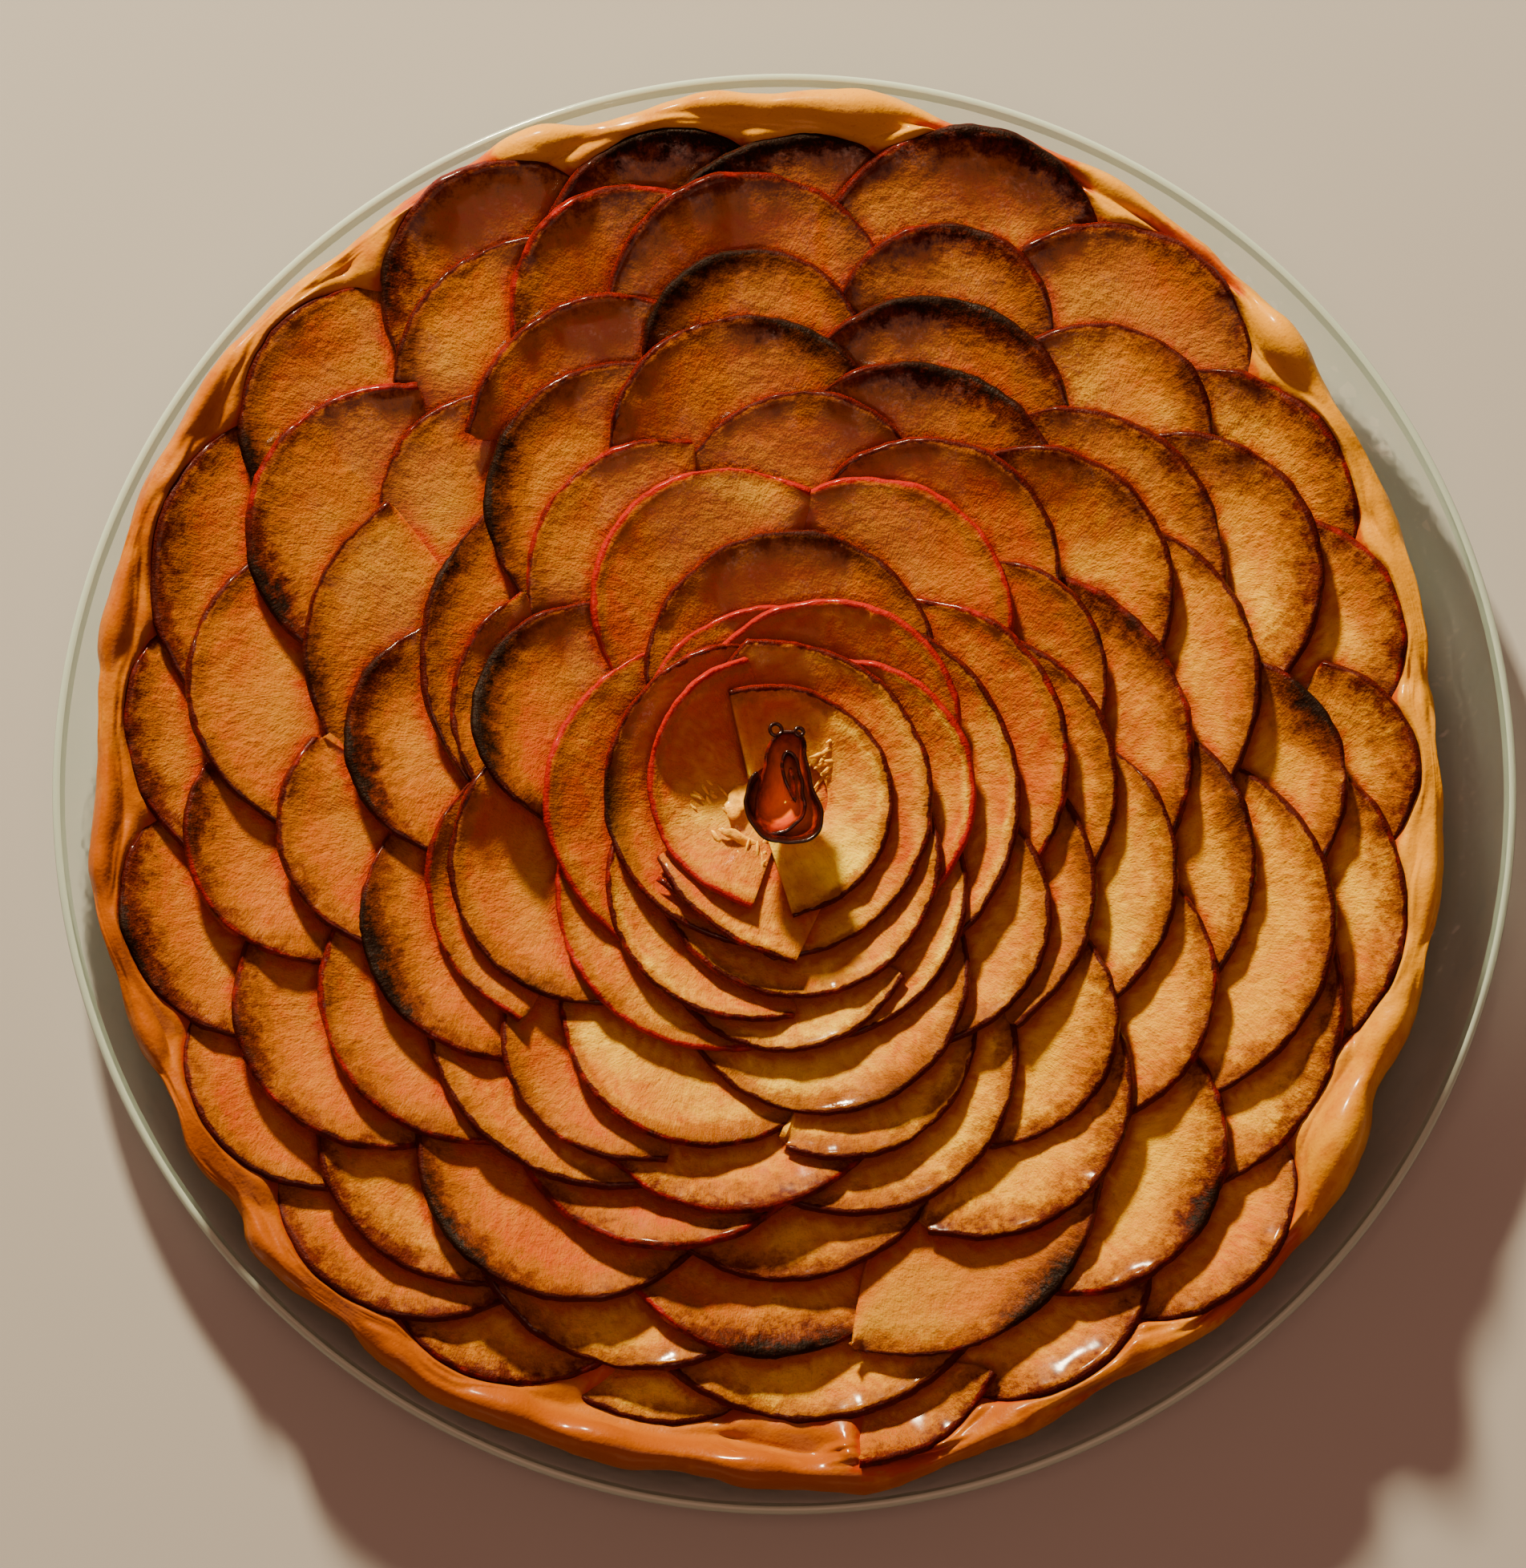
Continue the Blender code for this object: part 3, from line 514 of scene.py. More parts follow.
# %% How deep each point lies in a corner of the pile
CORNER_RINGS = ((1.2, 0.35), (2.4, 0.3), (4.0, 0.2), (6.5, 0.15))  # reach in mm and weight


def spots_round(reach, start=0.0):
    """Plan offsets evenly round a circle with a radius given in mm."""
    for step in range(DIRECTIONS):
        turn = math.tau * (step + start) / DIRECTIONS
        yield math.sin(turn) * reach * MM, math.cos(turn) * reach * MM


def height_at(x, y):
    """Heights from the map for arrays of plan spots."""
    column = np.clip(np.rint(x / CELL).astype(int) + HALF, 0, 2 * HALF)
    row = np.clip(np.rint(y / CELL).astype(int) + HALF, 0, 2 * HALF)
    return TOP[row, column]


# The apple and crust finishes paint shade with this: a deep orange in the corners it finds.
def tucked(points):
    """0 on open faces, up to 1 right beside the edge of a slice above."""
    total = np.zeros(len(points))
    for reach, weight in CORNER_RINGS:
        most = np.zeros(len(points))
        for x, y in spots_round(reach, 0.5):
            other = height_at(points[:, 0] + x, points[:, 1] + y)
            most = np.maximum(most, other - points[:, 2] - 0.12 * reach * MM)
        total += weight * np.clip(most / (0.9 * MM), 0, 1)
    return total


# %% [markdown]
# ## What each slice is like
# No two slices baked alike.  Some peels stayed bright red and some edges burned black.  The
# slices towards the far left are painted darker, as painted shade.  Short tables name those
# that stand out, with every figure a share.  The rest is drawn at random from a fixed seed and
# stored on the points of the mesh for the material to read.

# %% Burnt, red, soaked and shaded slices
BURNS = (  # slice, place along its peel, spread and strength
    ("outer_05", 0.5, 0.25, 0.8), ("outer_10", 0.12, 0.2, 0.9), ("outer_12", 0.44, 0.5, 1.0),
    ("outer_13", 0.7, 0.5, 1.0), ("outer_14", 0.6, 0.45, 0.8), ("second_09", 0.62, 0.14, 0.9),
    ("second_13", 0.51, 0.22, 1.0), ("second_14", 0.7, 0.25, 0.8), ("second_15", 0.33, 0.18, 1.0),
    ("second_17", 0.47, 0.12, 0.9), ("second_18", 0.42, 0.2, 1.0), ("third_02", 0.45, 0.35, 0.9),
    ("third_06", 0.45, 0.4, 0.9), ("third_12", 0.3, 0.3, 0.5), ("third_16", 0.4, 0.2, 1.0),
    ("third_16", 0.75, 0.12, 0.6), ("fourth_01", 0.55, 0.3, 1.0), ("fourth_02", 0.36, 0.28, 0.9),
    ("fourth_04", 0.75, 0.25, 0.8), ("fourth_05", 0.55, 0.35, 0.9), ("fourth_07", 0.3, 0.25, 0.6),
    ("fifth_01", 0.52, 0.25, 0.45), ("fifth_13", 0.56, 0.28, 1.0), ("sixth_04", 0.5, 0.2, 0.5),
    ("sixth_07", 0.58, 0.3, 0.6), ("heart_09", 0.47, 0.14, 0.7),
)
RED_PEEL = {  # 0 is brown, 1 is scarlet
    "fifth_04": 0.4, "sixth_01": 0.8, "sixth_02": 0.7, "sixth_05": 0.6, "sixth_06": 0.7,
    "heart_05": 0.9, "heart_06": 0.9, "heart_07": 0.8, "heart_08": 0.3, "heart_11": 0.8,
}
# On second_18 the darkness is painted shade; on the others it is syrup.
SOAK_AND_SHADE = {"second_18": 1.0, "second_13": 0.4, "outer_04": 0.6}  # 1 is clear with syrup
RING_TOAST = {  # how deep the browned band reaches in from the peel, in mm
    "outer": 6.8, "second": 6.8, "third": 6.0, "fourth": 5.4,
    "fifth": 4.4, "sixth": 3.2, "heart": 2.0,
}
BURNS_FROM = 3.5  # only rings with a deeper band than this burn by chance
LEAST_TOAST = 1.5


# %% Store it all on the points
def write_floats(mesh, name, values):
    """One number for each point, from a list or from a single number."""
    layer = mesh.attributes.new(name, "FLOAT", "POINT")
    values = np.full(len(mesh.vertices), values, dtype=np.float32)
    layer.data.foreach_set("value", values)


for number, (name, piece, finder) in enumerate(apples):
    chance = random.Random(SEED * 77 + number)
    mesh = piece.data
    ring = RING_TOAST[name[:-3]]
    points = np.array([v.co for v in mesh.vertices])
    place = np.array([peel_place(finder, v.co) for v in mesh.vertices])
    shrunk = np.array([nibble(v.co, number) for v in mesh.vertices])
    place[:, 1] -= shrunk * np.exp(-np.abs(place[:, 1]) / SHRINK_REACH)
    share = place[:, 0] / finder[2]
    burn = np.zeros(len(points))
    spots = [row[1:] for row in BURNS if row[0] == name]
    if not spots and chance.random() < 0.8 and ring > BURNS_FROM:
        far = 0.2 * (points[:, 1].mean() - points[:, 0].mean()) / (100 * MM)
        at, wide = chance.uniform(0.2, 0.8), chance.uniform(0.1, 0.3)
        spots.append((at, wide, chance.uniform(0.1, 0.55) + far))
    for at, wide, strong in spots:
        burn += strong * np.exp(-(((share - at) / wide) ** 2))
    red = RED_PEEL.get(name, chance.uniform(0.0, 0.55) ** 1.3)
    at = points.mean(axis=0) / (100 * MM)
    # painted shade: darker towards the far side and the left, with a random tone on top
    soak_and_shade = 0.42 + 0.5 * at[1] - 0.55 * at[0] + chance.uniform(-0.25, 0.25)
    soak_and_shade = SOAK_AND_SHADE.get(name, min(max(soak_and_shade * min(ring / 4.0, 1.0), 0.0), 1.0))
    toast = ring * (1.0 + 0.1 * at[0] + chance.uniform(-0.3, 0.3))
    for key, values in {
        "peel_distance": np.maximum(place[:, 1], 0) / MM, "peel_run": place[:, 0] / MM,
        "burn": np.clip(burn, 0, 1), "red": red, "tone": soak_and_shade,
        "toast": max(toast, LEAST_TOAST), "tucked": tucked(points),
    }.items():
        write_floats(mesh, key, values)
print("attributes written")

# %% [markdown]
# ## The crust
# The pastry is one soft, rolled-up border round the slices, uneven by hand: lumps, blisters,
# and an inner wall that swelled up against the fruit.  A copy of the solid is merged, its
# triangles are joined into four-sided faces so that they subdivide evenly, and it is smoothed.
# Noise makes it uneven, and every point near the fruit is pushed up to meet the slices.

# %% Smooth the crust
def crust_shape():
    bm = merged_copy("pastry_crust")
    join_triangles(bm)
    return smoothed(bm, SUBDIVISIONS)


crust = crust_shape()
print("crust points", len(crust.verts))

# %% Blisters, dents and small lumps
CRUST_MIDDLE = plan_middle(CRUST_LOW, CRUST_HIGH).to_2d()
CRUST_INNER = 100 * MM  # nearer the middle the crust is out of sight
CRUST_CREST = 141 * MM  # farther out it slopes down to the dish
CRUST_FOOT = 8 * MM  # lower than this it lies on the dish
BLISTERS = [  # bearing, reach, radius and height, in degrees and mm
    (340, 142, 6, 1.3), (349, 140, 4, 0.9), (8, 140, 5, 0.8), (312, 134, 4.5, 0.9),
    (298, 137, 3.5, 0.9), (283, 138, 4, 0.7), (262, 137, 3.2, 0.6), (247, 136, 4, 0.9),
    (236, 139, 5, 1.2), (228, 141, 3.5, 0.8), (214, 139, 4.5, 1), (203, 138, 5, 0.9),
    (194, 139, 4, 1), (181, 141, 4.5, 1), (171, 140, 6, 1.1), (160, 136, 6.5, 1.2),
    (152, 134, 5, 0.8), (147, 137, 7, 1.4), (132, 138, 5, 0.8), (123, 137, 8, 1.3),
    (112, 134, 4, 0.7), (100, 136, 4.5, 0.8), (84, 137, 4, 0.7), (66, 139, 4.5, 0.8),
    (48, 139, 6, 1.4), (30, 140, 4, 0.6), (20, 143, 5, 0.9), (356, 143, 4, 0.7),
]


def plan_place(bearing, reach):
    turn = math.radians(bearing)
    return CRUST_MIDDLE + Vector((math.sin(turn), math.cos(turn))) * reach * MM


def blistered(point, spots, out):
    """The way out at a point with its blisters, each longer along the crust than across."""
    for spot, wide, high in spots:
        away = point.to_2d() - spot
        outward = (spot - CRUST_MIDDLE).normalized()
        across = away.dot(outward)
        along = (away - outward * across).length
        off = math.hypot(across / (0.7 * wide), along / (1.5 * wide))
        if off < 2.2:
            out += 1.7 * high * math.exp(-off ** 3)
    return out


def roughen_crust(bm):
    """Move every seen point of the crust out or in, by noise and by its blisters."""
    spots = [(plan_place(b, r), wide * MM, high * MM) for b, r, wide, high in BLISTERS]
    bm.normal_update()
    moves = []
    for vert in bm.verts:
        reach = (vert.co.to_2d() - CRUST_MIDDLE).length
        if reach < CRUST_INNER or vert.co.z < CRUST_FOOT:
            moves.append(0.0)
            continue
        out = 0.75 * ripple(vert.co, 17, 1) + 0.5 * ripple(vert.co, 8, 2)
        out += 0.22 * ripple(vert.co, 3.6, 3) + 0.07 * ripple(vert.co, 1.6, 4)
        out *= MM
        if vert.normal.z > 0:
            out = blistered(vert.co, spots, out)
        moves.append(out)
    for vert, out in zip(bm.verts, moves):
        vert.co += vert.normal * out


roughen_crust(crust)
print("blisters", len(BLISTERS))

# %% Press the crust up against the fruit
HUG_GAP = 0.25 * MM  # left between the crust and the slice above it
HUG_REACH = 11 * MM  # slices higher than this above the crust do not touch it
HUG_RINGS = (0.6, 1.2, 1.8, 2.4, 3.0, 3.7, 4.4, 5.2, 6.0)  # in mm


def fruit_above(point, x, y):
    """Height of the lowest slice over a plan spot near the point, or None."""
    hit = PILE.ray_cast((x, y, point.z - 1.0 * MM), (0, 0, 1), HUG_REACH)[0]
    return hit.z if hit else None


def hug_fruit(bm):
    """Raise the crust to the undersides of the slices, and swell it up at their edges."""
    raised = 0
    for vert in bm.verts:
        reach = (vert.co.to_2d() - CRUST_MIDDLE).length
        if not CRUST_INNER < reach < CRUST_CREST or vert.normal.z < 0.05:
            continue
        above = fruit_above(vert.co, vert.co.x, vert.co.y)
        if above is not None:
            if above - HUG_GAP > vert.co.z:
                vert.co.z = above - HUG_GAP
                raised += 1
            continue
        most = vert.co.z
        for off in HUG_RINGS:
            for x, y in spots_round(off):
                near = fruit_above(vert.co, vert.co.x + x, vert.co.y + y)
                if near is not None:
                    most = max(most, near + 1.5 * MM - 0.22 * off * MM)
        if most > vert.co.z:
            vert.co.z = most
            raised += 1
    return raised


crust.normal_update()
print("points pressed up", hug_fruit(crust))


# %% Soften the pressed crust and keep it
def soften_top(bm):
    """Smooth the upper side of the crust, in five light passes."""
    soft = [v for v in bm.verts if v.normal.z > 0.0 and v.co.z > 13 * MM]
    for _ in range(5):
        bmesh.ops.smooth_vert(
            bm, verts=soft, factor=0.5, use_axis_x=True, use_axis_y=True, use_axis_z=True
        )


def keep_piece(bm, name, node):
    """A finished mesh as a piece of the tart, in place of its solid if it has one."""
    piece = new_object(bm, name)
    piece.data.shade_smooth()
    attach(piece, "root")
    if node:
        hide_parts(node)
    return piece


soften_top(crust)
crust_piece = keep_piece(crust, "golden_crust", "pastry_crust")
crust_points = np.array([v.co for v in crust_piece.data.vertices])
write_floats(crust_piece.data, "tucked", tucked(crust_points))
print("crust faces", len(crust_piece.data.polygons))

# %% [markdown]
# ## The pressed glass dish
# A round dish is a profile turned about its axis.  The profile here is the solid model's,
# drawn with more points: a flat floor, a gentle wall, a wide slanting flange with a few pressed
# rings, and a thin rounded lip.  Many small steps give a true round rim.

# %% Turn the dish
DISH_STEPS = 256
DISH_REACH = (DISH_HIGH[0] - DISH_LOW[0]) / 2 / MM
DISH_TOP = DISH_HIGH[2] / MM
DISH_INSIDE = [
    (0, 4), (114, 4), (118, 4.5), (121, 5.4), (126, 7.1), (131, 8.8), (134, 9.6), (135, 9.95),
    (136, 9.9), (139, 10.8), (140, 11.15), (141, 11.1), (144, 12), (146.6, 12.8), (147.6, 13.7),
]
DISH_LIP = [(148.4, DISH_TOP), (149.3, DISH_TOP), (149.8, 13.9), (DISH_REACH, 13.2), (149.8, 12.5)]
DISH_OUTSIDE = [
    (149, 11.8), (148.2, 10.6), (142, 8.7), (136, 6.7), (129, 4.4), (124, 2.8), (119, 1.2),
    (112, 0), (0, 0),
]


def spin_round(bm, geom, axis, cent, steps, close):
    """Turn the geometry once round the axis, and close the seam."""
    bmesh.ops.spin(
        bm, geom=geom, axis=axis, cent=cent, angle=math.tau, steps=steps, use_merge=True,
        use_duplicate=False, dvec=(0, 0, 0), use_normal_flip=False,
    )
    bmesh.ops.remove_doubles(bm, verts=bm.verts, dist=close)
    face_outwards(bm)


def dish_shape():
    bm = bmesh.new()
    verts = [bm.verts.new((r * MM, 0, z * MM)) for r, z in DISH_INSIDE + DISH_LIP + DISH_OUTSIDE]
    edges = [bm.edges.new(pair) for pair in zip(verts, verts[1:])]
    spin_round(bm, verts + edges, (0, 0, 1), (0, 0, 0), DISH_STEPS, SAME_SPOT)
    return bm


dish_piece = keep_piece(dish_shape(), "pressed_glass_dish", "glass_dish")
print("dish faces", len(dish_piece.data.polygons))

# %% [markdown]
# ## The curl of peel
# In the core hole stands a strip of peel, dried to a glossy dark red coil: one wide loop like
# a drop, and a smaller one folded inside it.  It is drawn from above as a path, raised in
# steps that widen towards its mouth, thickened, and smoothed.  Noise crumples its rim, and two
# little rings of peel sit on its far end.

# %% Wind the strip
PEEL_PATH = [  # x and y in mm from the middle of the curl
    (-6.2, 4.2), (-8.6, 0.6), (-9, -3.2), (-7.6, -7), (-4.2, -10.2), (1, -11.4),
    (5.6, -10.4), (7.9, -7.4), (7.3, -3.2), (5.4, 1.4), (4.2, 6.6), (3.8, 10.6), (2.6, 12.6),
    (-0.2, 12.9), (-2.8, 12), (-3.9, 9.4), (-4.6, 5.2), (-5.6, 0.8), (-6.6, -3.4),
    (-6.2, -7), (-3.2, -9.2), (0.4, -8.6), (3.2, -6.2), (4.4, -2.6), (3.4, 1.8),
    (2.4, 5.8), (1.4, 8.4), (-0.4, 8.8), (-1.4, 6.8), (-0.9, 3.2), (0.5, -0.6), (1.9, -3.2),
    (2.4, -1.4), (1.5, 2.4), (0.9, 5.2),
]
PEEL_LEVELS = [  # share of the height, and size there against the mouth
    (0.0, 0.12), (0.3, 0.46), (0.6, 0.76), (0.85, 0.95), (1.0, 1.02),
]
PEEL_RINGS = ((-2.2, 12.0, 1.3), (2.6, 11.6, 0.9))  # x, y and radius in mm
PEEL_THICK = 0.75 * MM
CURL_FOOT = CURL_LOW[2]
CURL_MOUTH = CURL_HIGH[2] - 1.2 * MM  # leaves room for the rim's waves


def add_ring(bm, x, y, size):
    """A little closed loop of peel on the mouth of the curl."""
    at = Vector((MIDDLE.x + x * MM, MIDDLE.y + y * MM, CURL_MOUTH - 0.3 * MM))
    made = bmesh.ops.create_circle(bm, segments=8, radius=0.42 * MM)["verts"]
    upright = Matrix.Rotation(math.radians(90), 3, "X")
    for vert in made:
        vert.co = at + upright @ vert.co + Vector((size * MM, 0, 0))
    edges = list({e for v in made for e in v.link_edges})
    spin_round(bm, made + edges, (0.25, 0.1, 1), at, 16, 0.5 * SAME_SPOT)


def curl_shape():
    bm = bmesh.new()
    rows = []
    for share, size in PEEL_LEVELS:
        row = []
        for k, (x, y) in enumerate(PEEL_PATH):
            run = k / (len(PEEL_PATH) - 1)
            tall = CURL_FOOT + (CURL_MOUTH - CURL_FOOT) * share
            tall += share ** 2 * MM * (0.9 * math.sin(9.0 * run + 0.6) - 1.6 * run)
            place = Vector((MIDDLE.x + x * size * MM, MIDDLE.y + (y * size - 0.6) * MM, tall))
            row.append(bm.verts.new(place))
        rows.append(row)
    for low, high in zip(rows, rows[1:]):
        for a, b, c, d in zip(low, low[1:], high[1:], high):
            bm.faces.new((a, b, c, d))
    face_outwards(bm)
    bm = smoothed(bm, 2)
    bm.normal_update()
    for vert in bm.verts:
        share = (vert.co.z - CURL_FOOT) / (CURL_MOUTH - CURL_FOOT)
        crumple = ripple(vert.co, 2.4, 31) * 0.45
        crumple += ripple(vert.co, 5.0, 32) * 0.5
        vert.co += Vector((vert.normal.x, vert.normal.y, 0)) * crumple * MM * max(share, 0.2)
        vert.co.z += ripple(vert.co, 1.8, 33) * 0.35 * MM * max(share, 0) ** 2
    bmesh.ops.solidify(bm, geom=list(bm.faces), thickness=PEEL_THICK)
    face_outwards(bm)
    bm = smoothed(bm, 1)
    for x, y, size in PEEL_RINGS:
        add_ring(bm, x, y, size)
    return bm


curl_piece = keep_piece(curl_shape(), "peel_curl_dried", "peel_curl")
curl_heights = np.array([v.co.z for v in curl_piece.data.vertices])
curl_share = (curl_heights - CURL_FOOT) / (CURL_MOUTH - CURL_FOOT)
write_floats(curl_piece.data, "height_share", np.clip(curl_share, 0, 1.2))
print("curl faces", len(curl_piece.data.polygons))

# %% [markdown]
# ## Torn flesh round the core
# Where the core was punched out, short fibres of flesh stand up round the curl in three
# clusters, and two thin flaps lean against it.  Each is a small rounded body stretched along
# one direction and bent by noise, set down on the slice below it.

# %% Fibres and flaps
SHREDS = (  # middle of the cluster and its spread in mm, how many, and their bearing
    (-15.5, -0.5, 3.2, 12, 140), (8.6, 8.6, 2.6, 14, 60), (-6.0, -12.6, 2.4, 8, 20),
)


def add_shred(bm, x, y, bearing, sizes, lift, channel, finer=False):
    """A rounded shred: its length, width and thickness in mm, lying along a bearing."""
    around, along = (16, 12) if finer else (8, 6)
    made = bmesh.ops.create_uvsphere(bm, u_segments=around, v_segments=along, radius=0.5)
    length, width, thick = sizes
    turn = Matrix.Rotation(math.radians(90 - bearing), 3, "Z")
    at = MIDDLE + Vector((x, y, 0)) * MM
    at.z = pile_height(at.x, at.y, CURL_FOOT) + lift * MM
    for vert in made["verts"]:
        p = Vector((vert.co.x * width, vert.co.y * thick, vert.co.z * length))
        p = Vector((p.z, p.x, p.y))
        p.z += 0.5 * width * math.sin(p.x / max(length, 0.1) * 3.0 + channel)
        p.y += 0.35 * width * noise.noise(Vector((p.x * 0.9, channel * 3.1, 0.0)))
        p += noise.noise_vector(p * 0.9 + Vector((channel, 0, 0))) * 0.16 * min(width, 1.5)
        vert.co = at + turn @ (p * MM)


def torn_flesh():
    bm = bmesh.new()
    chance = random.Random(SEED + 5)
    for middle_x, middle_y, spread, count, lie in SHREDS:
        for _ in range(count):
            x, y = middle_x + chance.gauss(0, spread * 0.6), middle_y + chance.gauss(0, spread)
            sizes = (chance.uniform(3.0, 5.6), chance.uniform(0.6, 1.1), chance.uniform(0.4, 0.6))
            add_shred(bm, x, y, lie + chance.uniform(-25, 25), sizes, -0.12, chance.uniform(0, 50))
    add_shred(bm, -9.6, 0.0, 20, (10.0, 4.4, 1.3), 0.4, 3.0, finer=True)
    add_shred(bm, -9.8, -8.4, 112, (8.5, 2.2, 1.1), 0.4, 9.0, finer=True)
    face_outwards(bm)
    return bm


flesh_piece = keep_piece(torn_flesh(), "torn_flesh", None)
print("flesh faces", len(flesh_piece.data.polygons))

# %% [markdown]
# ## Materials: small tools
# Every finish is built from the same few parts: object coordinates in millimetres, a noise, a
# smooth step between two numbers, and a mix of two colours.  Writing each of them once keeps
# the recipes short.

# %% Node helpers
class Nodes:
    """Short ways to add shader nodes to one node tree."""

    def __init__(self, tree):
        self.tree = tree

    def add(self, kind, inputs=(), **settings):
        """A node with its settings, and its inputs given as constants or other sockets."""
        made = self.tree.nodes.new("ShaderNode" + kind)
        for key, value in settings.items():
            setattr(made, key, value)
        for key, value in dict(inputs).items():
            if isinstance(value, bpy.types.NodeSocket):
                self.tree.links.new(value, made.inputs[key])
            else:
                made.inputs[key].default_value = value
        return made

    def calc(self, kind, a, b, c=0.0, clamp=False):
        return self.add("Math", {0: a, 1: b, 2: c}, operation=kind, use_clamp=clamp).outputs[0]

    def times(self, a, b, clamp=False):
        return self.calc("MULTIPLY", a, b, clamp=clamp)

    def fused(self, a, b, c, clamp=False):
        """a times b, plus c."""
        return self.calc("MULTIPLY_ADD", a, b, c, clamp)

    def blend(self, share, a, b):
        """Colour a where share is 0, colour b where it is 1."""
        return self.add("Mix", {0: share, 6: a, 7: b}, data_type="RGBA").outputs[2]

    def between(self, value, low, high):
        """0 below low, 1 above high, smooth in between; the other way round if low is higher."""
        inputs = {0: value, 1: low, 2: high}
        return self.add("MapRange", inputs, interpolation_type="SMOOTHSTEP").outputs[0]

    def attribute(self, name):
        return self.add("Attribute", attribute_name=name).outputs["Fac"]

    def millimetres(self):
        where = self.add("TexCoord").outputs["Object"]
        return self.add("VectorMath", {0: where, "Scale": 1000.0}, operation="SCALE").outputs[0]

    def speckle(self, where, scale, detail=3.0, rough=0.55):
        inputs = {"Vector": where, "Scale": scale, "Detail": detail, "Roughness": rough}
        return self.add("TexNoise", inputs).outputs[0]


print("helpers ready")

# %% [markdown]
# ## Shared effect: baked grain
# Flesh and pastry both have a fine, suede-like grain with a few darker pores.  It is made
# once as a node group that puts out a height for the bump and a mask for the pores.

# %% The grain group
def build_grain():
    group = bpy.data.node_groups.new("baked_grain", "ShaderNodeTree")
    for name, way, kind in (
        ("Where", "INPUT", "Vector"), ("Fineness", "INPUT", "Float"),
        ("Height", "OUTPUT", "Float"), ("Pores", "OUTPUT", "Float"),
    ):
        group.interface.new_socket(name, in_out=way, socket_type="NodeSocket" + kind)
    where, fineness = group.nodes.new("NodeGroupInput").outputs[:2]
    result = group.nodes.new("NodeGroupOutput")
    nodes = Nodes(group)
    fine = nodes.speckle(where, fineness, 2.0, 0.5)
    coarse = nodes.speckle(where, nodes.times(fineness, 0.3), 1.0, 0.5)
    height = nodes.fused(fine, 0.6, nodes.times(coarse, 0.6))
    group.links.new(height, result.inputs[0])
    group.links.new(nodes.between(fine, 0.6, 0.72), result.inputs[1])
    return group


GRAIN = build_grain()
print("grain group sockets", len(GRAIN.interface.items_tree))


# %% A finish under construction
class Finish(Nodes):
    """A new material.  Constants go to the sockets of its shader, by name."""

    def __init__(self, name, roughness, **constants):
        self.material = bpy.data.materials.new(name)
        self.material.use_nodes = True
        super().__init__(self.material.node_tree)
        self.shader = self.tree.nodes["Principled BSDF"]
        self.shader.inputs["Roughness"].default_value = roughness
        for key, value in constants.items():
            self.shader.inputs[key.replace("_", " ")].default_value = value

    def feed(self, name, socket):
        self.tree.links.new(socket, self.shader.inputs[name])

    def grain(self, where, fineness):
        """Height and pores of the shared grain."""
        made = self.tree.nodes.new("ShaderNodeGroup")
        made.node_tree = GRAIN
        self.tree.links.new(where, made.inputs[0])
        made.inputs[1].default_value = fineness
        return made.outputs[0], made.outputs[1]

    def bump(self, height, strength, distance):
        inputs = {"Height": height, "Strength": strength, "Distance": distance}
        self.feed("Normal", self.add("Bump", inputs).outputs[0])


print("finish helper ready")

# %% [markdown]
# ## Baked apple
# A slice goes from creamy tan flesh, palest at the heart, through a caramel band to a thin
# maroon or scarlet line of peel.  The band is of uneven depth, and burns push it inwards and
# blacken it.  Syrup soaks the flesh unevenly, and painted shade darkens the slices towards the
# far left; in the corners of the pile painted shade turns the flesh a clear deep orange.  The
# glaze is wet and beaded in some places and dull in others.

# %% The apple recipe
PALE = (0.93, 0.70, 0.035, 1)
CREAM = (0.95, 0.62, 0.012, 1)
HONEY = (0.52, 0.27, 0.016, 1)
AMBER = (0.36, 0.022, 0.0, 1)
CARAMEL = (0.28, 0.082, 0.0, 1)
TOASTED = (0.09, 0.009, 0.0, 1)
MAROON = (0.045, 0.003, 0.001, 1)
SCARLET = (0.26, 0.005, 0.002, 1)
CHARRED = (0.01, 0.004, 0.002, 1)


